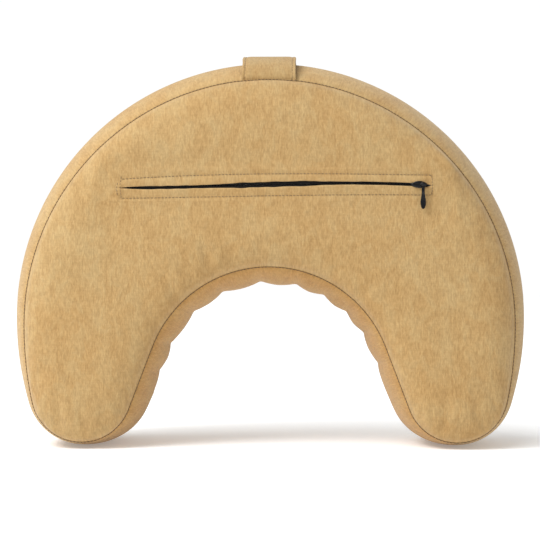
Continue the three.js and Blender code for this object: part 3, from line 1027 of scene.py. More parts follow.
def painted_shade_seam_line(cage, points, row):
    """A thin dark tube along the seam, deep in the ditch: painted shade standing in for the ditch's
    shadow, and for the shadow line at the strap's foot.
    """
    rim = seam_line(cage, points, row)
    closed = np.concatenate([rim, rim[:1]])
    ahead = unit(np.roll(rim, -1, 0) - np.roll(rim, 1, 0))
    ahead = np.concatenate([ahead, ahead[:1]])
    side = np.tile([0.0, 1.0, 0.0], (len(closed), 1))
    up = np.cross(ahead, side)
    angles = np.linspace(0, 2 * np.pi, 6, endpoint=False)
    profile = 0.00034 * np.stack([np.cos(angles), np.sin(angles)], -1)
    return swept(closed, side, up, profile)


# ------------------------------------------------------------------ finishes


class Finish:
    """A material in the making: places shader nodes and joins them."""

    def __init__(self, name, **constants):
        self.material = bpy.data.materials.new(name)
        self.material.use_nodes = True
        self.tree = self.material.node_tree
        self.shader = self.tree.nodes["Principled BSDF"]
        for key, value in constants.items():
            self.set(self.shader, key.replace("_", " "), value)

    def set(self, node, name, value):
        socket = node.inputs[name]
        if isinstance(value, bpy.types.NodeSocket):
            self.tree.links.new(value, socket)
        elif socket.type == "RGBA" and len(value) == 3:
            socket.default_value = (*value, 1)
        else:
            socket.default_value = value

    def node(self, kind, inputs=(), **settings):
        node = self.tree.nodes.new("ShaderNode" + kind)
        for key, value in settings.items():
            setattr(node, key, value)
        for name, value in dict(inputs).items():
            self.set(node, name, value)
        return node

    def math(self, operation, first, second=0.0):
        return self.node("Math", {0: first, 1: second}, operation=operation).outputs[0]

    def place(self, *scale):
        """Cloth or object coordinates, stretched by a count per metre along each axis."""
        source = self.coordinates
        return self.node("Mapping", {"Vector": source, "Scale": scale}).outputs[0]

    def on_cloth(self):
        self.coordinates = self.node("UVMap", uv_map="cloth").outputs[0]
        return self

    def on_object(self):
        self.coordinates = self.node("TexCoord").outputs["Object"]
        return self

    def noise(self, scale, detail=2.0, roughness=0.5, distortion=0.0):
        return self.node("TexNoise", {
            "Vector": self.place(*scale), "Scale": 1.0, "Detail": detail,
            "Roughness": roughness, "Distortion": distortion}).outputs["Fac"]

    def ramp(self, value, stops):
        ramp = self.node("ValToRGB", {"Fac": value})
        elements = ramp.color_ramp.elements
        while len(elements) < len(stops):
            elements.new(0.5)
        for element, (position, colour) in zip(elements, stops):
            element.position = position
            element.color = (*colour, 1)
        return ramp.outputs[0]

    def mix(self, factor, first, second, blend="MIX"):
        node = self.node("Mix", data_type="RGBA", blend_type=blend)
        for socket, value in ((0, factor), (6, first), (7, second)):
            target = node.inputs[socket]
            if isinstance(value, bpy.types.NodeSocket):
                self.tree.links.new(value, target)
            elif socket and len(value) == 3:
                target.default_value = (*value, 1)
            else:
                target.default_value = value
        return node.outputs[2]

    def bump(self, height, distance, strength=1.0, below=None):
        inputs = {"Height": height, "Distance": distance, "Strength": strength}
        if below is not None:
            inputs["Normal"] = below
        return self.node("Bump", inputs).outputs[0]

    def wear(self, name, value):
        self.set(self.shader, name, value)


def shade(colour, factor, warm=0.0):
    r, g, b = colour
    return (min(1, r * factor * (1 + warm)), min(1, g * factor),
            min(1, b * factor * (1 - 1.4 * warm)))


def woven(finish, threads_along, threads_across, drift_share=0.35):
    """Height of a plain weave: two crossing sets of threads, slightly wandering."""
    drift = finish.math("MULTIPLY", finish.noise((260, 260, 1), 1.0), drift_share * 12)
    split = finish.node("SeparateXYZ", {"Vector": finish.coordinates})
    rows = []
    for axis, count in ((0, threads_along), (1, threads_across)):
        angle = finish.math("MULTIPLY", split.outputs[axis], count * 2 * math.pi)
        rows.append(finish.math("SINE", finish.math("ADD", angle, drift)))
    return finish.math("MULTIPLY", finish.math("ADD", rows[0], rows[1]), 0.25)


def canvas_finish(name, base):
    """Brushed cotton canvas: slubby streaks along the warp, soft mottling and a plain weave."""
    finish = Finish(name, Roughness=0.92, Sheen_Weight=0.28, Sheen_Roughness=0.55,
                    Specular_IOR_Level=0.18).on_cloth()
    finish.wear("Sheen Tint", (1.0, 0.9, 0.74))
    slub = finish.noise((430, 105, 1), 3.0, 0.62, 0.7)
    fine = finish.noise((820, 240, 1), 2.0, 0.6, 0.4)
    weft = finish.noise((120, 760, 1), 2.0, 0.55)
    patches = finish.noise((75, 48, 1), 4.0, 0.62, 0.6)
    broad = finish.noise((14, 10, 1), 3.0, 0.55)

    def tones(value, spread, dark, light, warm):
        return finish.ramp(value, (
            (0.5 - spread, shade(base, dark, warm)), (0.5, base),
            (0.5 + spread, shade(base, light, -warm))))

    tone = tones(slub, 0.12, 0.66, 1.32, 0.05)
    tone = finish.mix(0.42, tone, tones(fine, 0.11, 0.55, 1.5, 0.05))
    tone = finish.mix(0.2, tone, tones(weft, 0.13, 0.7, 1.28, 0.03))
    tone = finish.mix(0.3, tone, tones(patches, 0.1, 0.74, 1.22, 0.13))
    tone = finish.mix(0.22, tone, tones(broad, 0.1, 0.82, 1.14, 0.1))
    edge = finish.node("NewGeometry").outputs["Pointiness"]
    rubbed = finish.ramp(edge, ((0.505, (0, 0, 0)), (0.56, (1, 1, 1))))
    tone = finish.mix(finish.math("MULTIPLY", rubbed, 0.22), tone, shade(base, 1.22, -0.08))
    finish.wear("Base Color", tone)
    rough = finish.node("MapRange", {"Value": slub, "To Min": 0.84, "To Max": 0.98}).outputs[0]
    finish.wear("Roughness", rough)
    cloth = finish.bump(slub, 0.00042, 0.75)
    cloth = finish.bump(fine, 0.00022, 0.7, cloth)
    cloth = finish.bump(woven(finish, 1150, 1050), 0.00014, 0.6, cloth)
    cloth = finish.bump(patches, 0.0011, 0.55, cloth)
    finish.wear("Normal", cloth)
    return finish.material


def thread_finish(name, colour):
    """Waxed cotton thread: fine twist across its length."""
    finish = Finish(name, Roughness=0.6, Sheen_Weight=0.3, Specular_IOR_Level=0.35).on_object()
    twist = finish.noise((2600, 2600, 2600), 2.0)
    fibres = finish.noise((420, 420, 420), 3.0)
    finish.wear("Base Color", finish.ramp(fibres, (
        (0.25, shade(colour, 0.6)), (0.55, colour), (0.8, shade(colour, 1.55, 0.04)))))
    finish.wear("Normal", finish.bump(twist, 0.00012, 0.7))
    return finish.material


def tape_finish(colour):
    """Woven polyester zipper tape: close ribs along its length with a dull shine."""
    finish = Finish("zipper_tape_weave", Roughness=0.85, Sheen_Weight=0.06,
                    Specular_IOR_Level=0.15).on_object()
    wave = finish.node("TexWave", {
        "Vector": finish.place(1, 1, 1), "Scale": 520.0, "Distortion": 1.2, "Detail": 2.0},
        bands_direction="Z").outputs["Fac"]
    picks = finish.noise((1500, 300, 260), 2.0)
    finish.wear("Base Color", finish.ramp(wave, (
        (0.1, shade(colour, 0.55)), (0.6, colour), (0.95, shade(colour, 2.3)))))
    ribs = finish.bump(wave, 0.00018, 0.8)
    finish.wear("Normal", finish.bump(picks, 0.00012, 0.6, ribs))
    return finish.material


def nylon_finish(colour):
    """Coil monofilament: smooth plastic with faint haze."""
    finish = Finish("zipper_nylon", Roughness=0.42, Specular_IOR_Level=0.32,
                    Coat_Weight=0.05).on_object()
    haze = finish.noise((700, 700, 700), 3.0)
    finish.wear("Base Color", finish.ramp(haze, (
        (0.3, shade(colour, 1.6)), (0.7, shade(colour, 3.4)))))
    finish.wear("Roughness", finish.node("MapRange", {
        "Value": haze, "To Min": 0.26, "To Max": 0.46}).outputs[0])
    finish.wear("Normal", finish.bump(haze, 0.00004, 0.5))
    return finish.material


def enamel_finish(colour):
    """Glossy black enamel on cast metal, rubbed slightly brown along its edges."""
    finish = Finish("slider_black_enamel", Roughness=0.2, Coat_Weight=0.12, Coat_Roughness=0.06,
                    Specular_IOR_Level=0.2).on_object()
    flow = finish.noise((160, 160, 160), 3.0)
    specks = finish.noise((1500, 1500, 1500), 2.0)
    edge = finish.node("NewGeometry").outputs["Pointiness"]
    rubbed = finish.ramp(edge, ((0.53, (0, 0, 0)), (0.62, (1, 1, 1))))
    rubbed = finish.math("MULTIPLY", rubbed, finish.math("MULTIPLY", flow, 0.5))
    tone = finish.ramp(flow, ((0.3, colour), (0.7, shade(colour, 1.9))))
    finish.wear("Base Color", finish.mix(rubbed, tone, (0.03, 0.027, 0.025)))
    finish.wear("Roughness", finish.node("MapRange", {
        "Value": specks, "From Min": 0.3, "From Max": 0.75,
        "To Min": 0.11, "To Max": 0.3}).outputs[0])
    finish.wear("Normal", finish.bump(flow, 0.00012, 0.35))
    return finish.material


def cotton_finish(colour):
    """Unbleached lining cotton: even plain weave with seed flecks."""
    finish = Finish("case_cotton", Roughness=0.9, Sheen_Weight=0.3,
                    Specular_IOR_Level=0.2).on_object()
    threads = finish.noise((900, 900, 240), 3.0)
    flecks = finish.noise((260, 260, 260), 1.0)
    soft = finish.noise((24, 24, 24), 3.0)
    tone = finish.ramp(soft, ((0.3, shade(colour, 0.9, 0.03)), (0.7, shade(colour, 1.08))))
    tone = finish.mix(0.3, tone, finish.ramp(
        threads, ((0.3, shade(colour, 0.82)), (0.7, shade(colour, 1.1)))))
    fleck = finish.ramp(flecks, ((0.72, (0, 0, 0)), (0.76, (1, 1, 1))))
    fleck = finish.math("MULTIPLY", fleck, 0.55)
    finish.wear("Base Color", finish.mix(fleck, tone, (0.2, 0.13, 0.07)))
    finish.wear("Normal", finish.bump(threads, 0.0003, 0.7))
    return finish.material


def husk_finish(colour):
    """Loose husks: small overlapping dark shells, each with its own shade."""
    finish = Finish("loose_husks", Roughness=0.62, Specular_IOR_Level=0.35).on_object()
    cells = finish.node("TexVoronoi", {"Vector": finish.place(190, 190, 190), "Scale": 1.0,
                                       "Randomness": 1.0})
    split = finish.node("SeparateColor", {"Color": cells.outputs["Color"]})
    finish.wear("Base Color", finish.ramp(split.outputs[0], (
        (0.0, shade(colour, 0.5)), (0.55, colour), (1.0, shade(colour, 2.4, 0.06)))))
    shells = finish.bump(cells.outputs["Distance"], 0.0022, 0.9)
    finish.wear("Normal", finish.bump(finish.noise((900, 900, 900), 2.0), 0.0002, 0.5, shells))
    return finish.material


def floor_finish():
    """Matt white floor with a barely visible cloudiness."""
    finish = Finish("plain_floor", Roughness=0.95, Specular_IOR_Level=0.05,
                    Emission_Color=(1.0, 1.0, 1.0), Emission_Strength=0.22).on_object()
    cloud = finish.noise((3, 3, 3), 2.0)
    finish.wear("Base Color", finish.ramp(cloud, (
        (0.3, (0.93, 0.93, 0.925)), (0.7, (0.95, 0.95, 0.945)))))
    return finish.material


MADE = {}


def named_material(name, make, *values):
    """Makes each finish once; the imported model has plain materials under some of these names."""
    if name not in MADE:
        MADE[name] = make(*values)
    return MADE[name]


def finish_of(name, make, colour):
    """A finish made from one of the colours in the panel."""
    colours = bpy.context.scene.cushion_finish
    return named_material(name, make, tuple(getattr(colours, colour)))


def canvas(kind):
    """The canvas of the faces, of the gussets or of the strap. The outer gusset's copy is lighter,
    which is painted light as on a top that faces the light; the arch's copy is darker and warmer,
    which is painted shade under the arch.
    """
    colour = tuple(bpy.context.scene.cushion_finish.canvas)
    # gusset_canvas is 4% lighter as painted light; the arch copy is darker and warmer as painted
    # shade under the arch
    lighter, warm = {"cover_canvas": (1.0, 0), "gusset_canvas": (1.04, 0),
                     "arch_canvas": (0.87, 0.13), "strap_canvas": (0.93, 0)}[kind]
    return named_material(kind, canvas_finish, kind, shade(colour, lighter, warm))


def sewing_thread():
    return named_material("sewing_thread", thread_finish, "sewing_thread",
                          tuple(bpy.context.scene.cushion_finish.thread))


# ------------------------------------------------------------------ operators: cover


SHARED = {}


def cover_cage():
    """The cover's shape after pressing, made once and cut up by the panel operators."""
    if "cage" not in SHARED:
        sizes = bpy.context.scene.cushion_cover
        cage = Cage(sizes)
        SHARED["cage"] = cage, pucker_faces(cage, inflate(cage, sizes))
    return SHARED["cage"]


class CUSHION_OT_front_panel(Operator):
    """Front face with its folded zipper slit"""
    bl_idname = "cushion.front_panel"
    bl_label = "Front Panel"

    def execute(self, context):
        scene = context.scene
        cage, points = cover_cage()
        panel_points, faces = face_panel(cage, points, FRONT)
        mesh = cut_and_patch(panel_points, faces.tolist(), scene.cushion_zipper)
        piece = bpy.data.objects.new("cover_front_cloth", mesh)
        scene.collection.objects.link(piece)
        finish_cloth(piece, scene.cushion_cover.fabric)
        flat_cloth_map(piece)
        dress(piece, "cover", "cover_canvas", canvas("cover_canvas"), "cover_front_panel")
        return {"FINISHED"}


class CUSHION_OT_back_panel(Operator):
    """Plain back face"""
    bl_idname = "cushion.back_panel"
    bl_label = "Back Panel"

    def execute(self, context):
        cage, points = cover_cage()
        piece = mesh_object("cover_back_cloth", *face_panel(cage, points, BACK))
        finish_cloth(piece, context.scene.cushion_cover.fabric)
        flat_cloth_map(piece)
        dress(piece, "cover", "cover_canvas", canvas("cover_canvas"), "cover_back_panel")
        return {"FINISHED"}


class CUSHION_OT_gussets(Operator):
    """Outer and arch gussets, bulging between the two seams"""
    bl_idname = "cushion.gussets"
    bl_label = "Gussets"

    def execute(self, context):
        cage, points = cover_cage()
        for name, outer, node in (("cover_outer_boxing", True, "cover_outer_gusset"),
                                  ("cover_arch_boxing", False, "cover_inner_gusset")):
            piece = mesh_object(name, *gusset_panel(cage, points, outer))
            finish_cloth(piece, context.scene.cushion_cover.fabric)
            # the arch gusset gets the darker, warmer canvas: painted shade under the arch
            kind = "gusset_canvas" if outer else "arch_canvas"
            dress(piece, "cover", "gusset_canvas", canvas(kind), node)
        return {"FINISHED"}


class CUSHION_OT_seam_stitches(Operator):
    """Stitching in the ditch round both faces, with a dark tube of painted shade along each seam"""
    bl_idname = "cushion.seam_stitches"
    bl_label = "Seam Stitches"

    def execute(self, context):
        cage, points = cover_cage()
        sizes = context.scene.cushion_stitch
        for name, row, node in (("front_seam_stitches", 0, "front_seam_thread"),
                                ("back_seam_stitches", -1, "back_seam_thread")):
            # each seam's stitches are joined with a dark tube that is painted shade in the ditch
            stitches = joined([seam_stitches(cage, points, row, sizes, 21 + row),
                               painted_shade_seam_line(cage, points, row)])
            dress(mesh_object(name, *stitches), "cover", "sewing_thread", sewing_thread(), node)
        return {"FINISHED"}


# ------------------------------------------------------------------ operators: strap


STRAP_THICK = 0.0020
STRAP_SINK = 0.0014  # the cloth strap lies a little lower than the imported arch
STRAP_HALF = STRAP_BOX[1].x - 0.0004


def strap_line():
    """The strap's middle line from front seam to back seam over the top, and its outward side."""
    low = STRAP_BOX[0].z
    rise = STRAP_BOX[1].z - STRAP_SINK - STRAP_THICK / 2 - low
    front, back = STRAP_BOX[0].y + STRAP_THICK / 2, STRAP_BOX[1].y - STRAP_THICK / 2
    middle, half = (front + back) / 2, (back - front) / 2
    angle = np.linspace(0, np.pi, 71)
    y = middle - half * np.sign(np.cos(angle)) * np.abs(np.cos(angle)) ** 0.97
    z = low + rise * np.sin(angle) ** 0.97
    below = np.linspace(-0.0034, -0.0007, 4)
    line = np.concatenate([
        [(0.0, front + 0.0004, low + d) for d in below],
        np.stack([np.zeros(71), y, z], -1),
        [(0.0, back - 0.0004, low + d) for d in below[::-1]]])
    ahead = unit(np.gradient(line, axis=0))
    outward = np.cross(np.tile([1.0, 0.0, 0.0], (len(line), 1)), ahead)
    return line, outward


def strap_profile(sizes):
    """Cross-section of the strap: rounded edges and a shallow groove along each stitch row."""
    half, thick = STRAP_HALF, STRAP_THICK / 2
    row = half - sizes.stitch_inset
    inner = [0, 0.35 * half, 0.62 * half, row - 0.0028, row - 0.0011, row - 0.0004,
             row, row + 0.0004, row + 0.0011, half - thick * 0.75]
    grooves = {row: 0.00052, row - 0.0004: 0.00034, row + 0.0004: 0.00034, row - 0.0011: 0.0001}
    top = [(x, thick - grooves.get(x, 0) + (0.00025 if x < row - 0.002 else 0)) for x in inner]
    edge = [(half - thick * (0.75 - 0.75 * math.sin(a)), thick * 0.95 * math.cos(a))
            for a in np.linspace(0.5, math.pi - 0.5, 7)]
    bottom = [(x, -y) for x, y in top[::-1]]
    right = top + edge + bottom
    left = [(-x, y) for x, y in right[::-1] if x > 1e-9]
    outline = np.array(right + left)
    return outline[::-1]


class CUSHION_OT_strap(Operator):
    """Carry strap across the top, with edge stitching"""
    bl_idname = "cushion.strap"
    bl_label = "Carry Strap"

    def execute(self, context):
        sizes = context.scene.cushion_strap
        line, outward = strap_line()
        across = np.tile([1.0, 0.0, 0.0], (len(line), 1))
        profile = strap_profile(sizes)
        points, faces = swept(line, across, outward, profile)
        steps = np.concatenate([[0], np.cumsum(np.linalg.norm(np.diff(line, axis=0), axis=1))])
        waver = ripple(31, 5, 0.012, 0.04)(steps).repeat(len(profile)) * 0.00016
        points[:, 0] += np.sign(points[:, 0]) * waver * (np.abs(points[:, 0]) / STRAP_HALF)
        uv = np.stack([points[:, 0] + 0.4, steps.repeat(len(profile))], -1)
        piece = mesh_object("carry_strap_webbing", points, faces, uv)
        apply_modifier(piece, "SUBSURF", levels=1, render_levels=1)
        outward_normals(piece, merge=False)
        smooth(piece)
        dress(piece, None, "strap_canvas", canvas("strap_canvas"), "carry_strap")
        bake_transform(piece)
        stitch = context.scene.cushion_stitch
        for side, name, node in ((-1, "strap_stitches_left", "carry_strap_stitch_left"),
                                 (1, "strap_stitches_right", "carry_strap_stitch_right")):
            shifted = line + [side * (STRAP_HALF - sizes.stitch_inset), 0, 0]
            places, directions, share = evenly_along(shifted, stitch.pitch)
            normals = np.stack([np.interp(share, steps / steps[-1], outward[:, k])
                                for k in range(3)], -1)
            lifted = places + unit(normals) * (STRAP_THICK / 2 - 0.00038)
            keep = places[:, 2] > STRAP_BOX[0].z
            rows = stitch_run(lifted[keep], directions[keep], normals[keep],
                              stitch, 0.04, 40 + side)
            row = mesh_object(name, *rows)
            dress(row, None, "sewing_thread", tan_thread(0.62), node)
            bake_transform(row)
        return {"FINISHED"}


def tan_thread(darkness):
    """Thread dyed near the canvas, darker by a share of its colour."""
    colour = shade(tuple(bpy.context.scene.cushion_finish.canvas), darkness)
    name = f"tan_thread_{round(100 * darkness)}"
    return named_material(name, thread_finish, name, colour)


# ------------------------------------------------------------------ operators: zipper


END_PITCH = 0.0026  # stitches across the slit's ends lie closer


def face_surface(x, z):
    return np.stack([x, np.full(len(x), FACE_Y), z], -1)


class CUSHION_OT_slit_stitches(Operator):
    """Box of stitches that holds the zipper in the front face"""
    bl_idname = "cushion.slit_stitches"
    bl_label = "Slit Stitches"

    def execute(self, context):
        sizes = context.scene.cushion_stitch
        left = STITCH_BOX[0].x + 0.0046
        right = STITCH_BOX[1].x - 0.0006
        x = np.linspace(left, right, 120)
        lines = [face_surface(x, stitch_row_above(x)), face_surface(x, stitch_row_below(x))]
        for place, inset, lean in ((left - 0.0002, 0.0, 0.0011), (left - 0.0034, 0.0026, 0.0009),
                                   (right, 0.0, -0.0006)):
            top = float(stitch_row_above(place)) - inset + (0.0026 if lean > 0 and not inset else 0)
            low = float(stitch_row_below(place)) + inset
            z = np.linspace(low, top, 24)
            bow = lean * np.sin(np.pi * (z - low) / (top - low))
            lines.append(face_surface(place - bow, z))
        runs = []
        for number, line in enumerate(lines):
            pitch = sizes.pitch if number < 2 else END_PITCH
            places, directions, _ = evenly_along(line, pitch)
            normals = np.tile([0.0, -1.0, 0.0], (len(places), 1))
            depth = PULLED_IN - 0.00022 if number < 2 else -0.00012
            runs.append(stitch_run(places + [0, depth, 0], directions, normals,
                                   sizes, 0.07, 60 + number))
        piece = mesh_object("zipper_stitch_box", *joined(runs))
        dress(piece, "cover", "sewing_thread", tan_thread(0.42), "zipper_slit_stitching")
        return {"FINISHED"}


class CUSHION_OT_tapes(Operator):
    """The two woven zipper tapes with a cord along each inner edge"""
    bl_idname = "cushion.tapes"
    bl_label = "Zipper Tapes"

    def execute(self, context):
        material = finish_of("zipper_tape_weave", tape_finish, "tape")
        for name, side in (("zipper_tape_upper", 1), ("zipper_tape_lower", -1)):
            low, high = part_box(name)
            inner, outer = (low.z, high.z) if side == 1 else (high.z, low.z)
            middle = (low.y + high.y) / 2
            half = (high.y - low.y) / 2
            x = np.linspace(low.x, high.x, 120)
            path = np.stack([x, np.full(len(x), middle), np.full(len(x), inner)], -1)
            width = abs(outer - inner)
            profile = [(width, half * 0.7), (width - 0.0003, half)]
            profile += [(s * width, half * (0.82 + 0.18 * (k % 2)))
                        for k, s in enumerate(np.linspace(0.9, 0.16, 9))]
            profile += [(0.0011, half), (0.0007, half * 1.25), (0.0003, half * 1.1),
                        (0.0, half * 0.4)]
            outline = profile + [(a, -b) for a, b in profile[::-1]]
            across = np.tile([0.0, 0.0, float(side)], (len(x), 1))
            upward = np.tile([0.0, -1.0, 0.0], (len(x), 1))
            points, faces = swept(path, across, upward, np.array(outline))
            piece = mesh_object(name + "_woven", points, faces)
            outward_normals(piece)
            dress(piece, "cover", "zipper_tape", material, name)
        return {"FINISHED"}


class CUSHION_OT_coils(Operator):
    """The two interlocking coils of teeth"""
    bl_idname = "cushion.coils"
    bl_label = "Zipper Coils"

    def execute(self, context):
        pitch = context.scene.cushion_zipper.tooth_pitch
        for name, side, phase in (("zipper_coil_upper", 1, 0.0), ("zipper_coil_lower", -1, np.pi)):
            low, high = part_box(name)
            wire = 0.00027
            turns = int((high.x - low.x - 0.001) / pitch)
            angle = np.linspace(0, 2 * np.pi * turns, turns * 9 + 1)
            depth = (high.y - low.y) / 2 - wire
            outer = abs((high.z if side == 1 else low.z) - ZIP_Z) - wire
            inner = -0.0002
            z = ZIP_Z + side * ((outer + inner) / 2 + (outer - inner) / 2 * np.cos(angle + phase))
            y = (low.y + high.y) / 2 + depth * np.sin(angle + phase)
            x = low.x + 0.0005 + pitch * angle / (2 * np.pi)
            path = np.stack([x, y, z], -1)
            ahead = unit(np.gradient(path, axis=0))
            across = unit(np.cross(ahead, [1.0, 0.0, 0.0]))
            upward = np.cross(ahead, across)
            ring = np.linspace(0, 2 * np.pi, 5, endpoint=False)
            profile = wire * np.stack([np.cos(ring), np.sin(ring)], -1)
            piece = mesh_object(name + "_spiral", *swept(path, across, upward, profile))
            outward_normals(piece)
            nylon = finish_of("zipper_nylon", nylon_finish, "tape")
            dress(piece, "cover", "zipper_nylon", nylon, name)
        return {"FINISHED"}


def select_faces(piece, wanted):
    """Selects, in edit mode, the faces that a test on centre and normal picks."""
    bm = bmesh.from_edit_mesh(piece.data)
    bpy.ops.mesh.select_mode(type="FACE")
    for face in bm.faces:
        face.select_set(bool(wanted(face.calc_center_median(), face.normal)))
    bm.select_flush_mode()
    bmesh.update_edit_mesh(piece.data)


def box_between(name, low, high):
    """A primitive cube set between two corners, as a start for a small hard piece."""
    deselect()
    centre = [(a + b) / 2 for a, b in zip(low, high)]
    bpy.ops.mesh.primitive_cube_add(size=1, location=centre)
    piece = bpy.context.object
    piece.name = piece.data.name = name
    piece.scale = [abs(b - a) for a, b in zip(low, high)]
    settle_place(piece)
    return piece


def settle_place(piece):
    activate(piece)
    bpy.ops.object.transform_apply(location=True, rotation=True, scale=True)


def join_into(name, pieces):
    deselect()
    for piece in pieces:
        piece.select_set(True)
    bpy.context.view_layer.objects.active = pieces[0]
    bpy.ops.object.join()
    result = bpy.context.object
    result.name = result.data.name = name
    return result


def soften(piece, width, segments=3, angle=0.6):
    apply_modifier(piece, "BEVEL", width=width, segments=segments, limit_method="ANGLE",
                   angle_limit=angle, harden_normals=False)
    activate(piece)
    bpy.ops.object.shade_smooth_by_angle(angle=0.7)


class CUSHION_OT_stops(Operator):
    """Crimped stops at both ends of the teeth"""
    bl_idname = "cushion.stops"
    bl_label = "Zipper Stops"

    def execute(self, context):
        for name in ("zipper_top_stop_upper", "zipper_top_stop_lower", "zipper_bottom_stop"):
            low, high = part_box(name)
            piece = box_between(name + "_clamp", low, high)
            in_edit_mode(piece)
            select_faces(piece, lambda centre, normal: normal.y < -0.9)
            bpy.ops.mesh.inset(thickness=0.0004, depth=0)
            bpy.ops.mesh.extrude_region_move(TRANSFORM_OT_translate={"value": (0, 0.0002, 0)})
            bpy.ops.mesh.inset(thickness=0.00015, depth=0)
            leave_edit_mode()
            soften(piece, 0.00022)
            nylon = finish_of("zipper_nylon", nylon_finish, "tape")
            dress(piece, "cover", "zipper_nylon", nylon, name)
        return {"FINISHED"}


def eye_plate(name, centre, length, height, front, rear):
    """A lens-shaped plate: half of a disc cut off by a plane, mirrored and given thickness."""
    radius = (length ** 2 + height ** 2) / (4 * height)
    drop = radius - height / 2
    deselect()
    bpy.ops.mesh.primitive_circle_add(vertices=160, radius=radius, fill_type="NGON",
                                      location=(centre[0], rear, centre[1] - drop),
                                      rotation=(math.pi / 2, 0, 0))
    plate = bpy.context.object
    plate.name = plate.data.name = name
    settle_place(plate)
    in_edit_mode(plate)
    bpy.ops.mesh.select_all(action="SELECT")
    bpy.ops.mesh.bisect(plane_co=(centre[0], rear, centre[1]), plane_no=(0, 0, 1),
                        use_fill=False, clear_inner=True)
    bpy.ops.mesh.select_all(action="SELECT")
    bpy.ops.mesh.duplicate()
    bpy.ops.transform.mirror(constraint_axis=(False, False, True), orient_type="GLOBAL",
                             center_override=(centre[0], rear, centre[1]))
    bpy.ops.mesh.select_all(action="SELECT")
    bpy.ops.mesh.remove_doubles(threshold=1e-6)
    for sign in (-1, 1):
        bpy.ops.mesh.select_all(action="SELECT")
        bpy.ops.mesh.bisect(plane_co=(centre[0] + sign * (length / 2 - 0.0007), 0, 0),
                            plane_no=(sign, 0, 0), use_fill=False, clear_outer=True)
    bpy.ops.mesh.select_all(action="SELECT")
    bpy.ops.mesh.dissolve_limited(angle_limit=0.002)
    bpy.ops.mesh.select_all(action="SELECT")
    bpy.ops.mesh.extrude_region_move(TRANSFORM_OT_translate={"value": (0, front - rear, 0)})
    bpy.ops.mesh.select_all(action="SELECT")
    bpy.ops.mesh.normals_make_consistent(inside=False)
    leave_edit_mode()
    return plate


class CUSHION_OT_slider(Operator):
    """Eye-shaped slider body with its bridge, flanges and back plate"""
    bl_idname = "cushion.slider"
    bl_label = "Zipper Slider"

    def execute(self, context):
        low, high = SLIDER_BOX
        centre_x = (low.x + high.x) / 2
        centre = (centre_x, ZIP_Z)
        bar_y = (PULL_BOX[0].y + PULL_BOX[1].y) / 2
        plate_rear = FACE_Y - 0.0003
        plate_front = plate_rear - 0.001
        back_front = high.y - 0.0008
        plate = eye_plate("slider_plate", centre, high.x - low.x, 0.0060, plate_front, plate_rear)
        in_edit_mode(plate)
        select_faces(plate, lambda c, normal: normal.y < -0.9)
        bpy.ops.mesh.inset(thickness=0.0007, depth=0.00035)
        bpy.ops.mesh.inset(thickness=0.0006, depth=0.0)
        leave_edit_mode()
        soften(plate, 0.00028, 3, 0.5)
        back = eye_plate("slider_back", centre, 0.0105, high.z - low.z, back_front, high.y)
        in_edit_mode(back)
        for sign in (-1, 1):
            bpy.ops.mesh.select_all(action="SELECT")
            bpy.ops.mesh.bisect(plane_co=(centre_x + sign * 0.0045, 0, 0), plane_no=(sign, 0, 0),
                                use_fill=True, clear_outer=True)
        leave_edit_mode()
        soften(back, 0.0002)
        post = box_between("slider_post", (centre_x + 0.0012, plate_rear - 0.0004, ZIP_Z - 0.0004),
                           (centre_x + 0.0042, back_front + 0.0003, ZIP_Z + 0.0004))
        soften(post, 0.0003)
        parts = [plate, back, post]
        bridge_x = centre_x + 0.0032
        for sign in (-1, 1):
            z_in, z_out = sorted((ZIP_Z + sign * 0.0027, ZIP_Z + sign * 0.00325))
            flange = box_between("slider_flange", (centre_x - 0.0040, high.y - 0.0024, z_in),
                                 (centre_x + 0.0040, high.y - 0.0004, z_out))
            soften(flange, 0.00018)
            parts.append(flange)
        parts.append(slider_bridge(bridge_x, bar_y, plate_front))
        piece = join_into("slider_body", parts)
        enamel = finish_of("slider_black_enamel", enamel_finish, "enamel")
        dress(piece, "slider", "slider_enamel", enamel, "zipper_slider")
        return {"FINISHED"}


def slider_bridge(x, bar_y, plate_front):
    """The arched loop that carries the pull: a face drawn up, spun over and drawn down."""
    half = 0.0031
    start = box_between("slider_bridge", (x - half - 0.0004, plate_front - 0.0002, ZIP_Z - 0.0006),
                        (x - half + 0.0004, plate_front + 0.0003, ZIP_Z + 0.0006))
    in_edit_mode(start)
    rise = bar_y - plate_front + 0.0014
    select_faces(start, lambda c, normal: normal.y < -0.9)
    bpy.ops.mesh.extrude_region_move(TRANSFORM_OT_translate={"value": (0, rise, 0)})
    corner_y = plate_front - 0.0002 + rise
    bpy.ops.mesh.spin(steps=5, angle=-math.pi / 2, center=(x - half + 0.0014, corner_y, ZIP_Z),
                      axis=(0, 0, 1))
    bpy.ops.mesh.extrude_region_move(
        TRANSFORM_OT_translate={"value": (2 * (half - 0.0014), 0, 0)})
    bpy.ops.mesh.spin(steps=5, angle=-math.pi / 2, center=(x + half - 0.0014, corner_y, ZIP_Z),
                      axis=(0, 0, 1))
    bpy.ops.mesh.extrude_region_move(TRANSFORM_OT_translate={"value": (0, -rise + 0.0002, 0)})
    bpy.ops.mesh.select_all(action="SELECT")
    bpy.ops.mesh.remove_doubles(threshold=1e-6)
    bpy.ops.mesh.select_all(action="SELECT")
    bpy.ops.mesh.normals_make_consistent(inside=False)
    leave_edit_mode()
    soften(start, 0.00022, 2, 0.9)
    return start


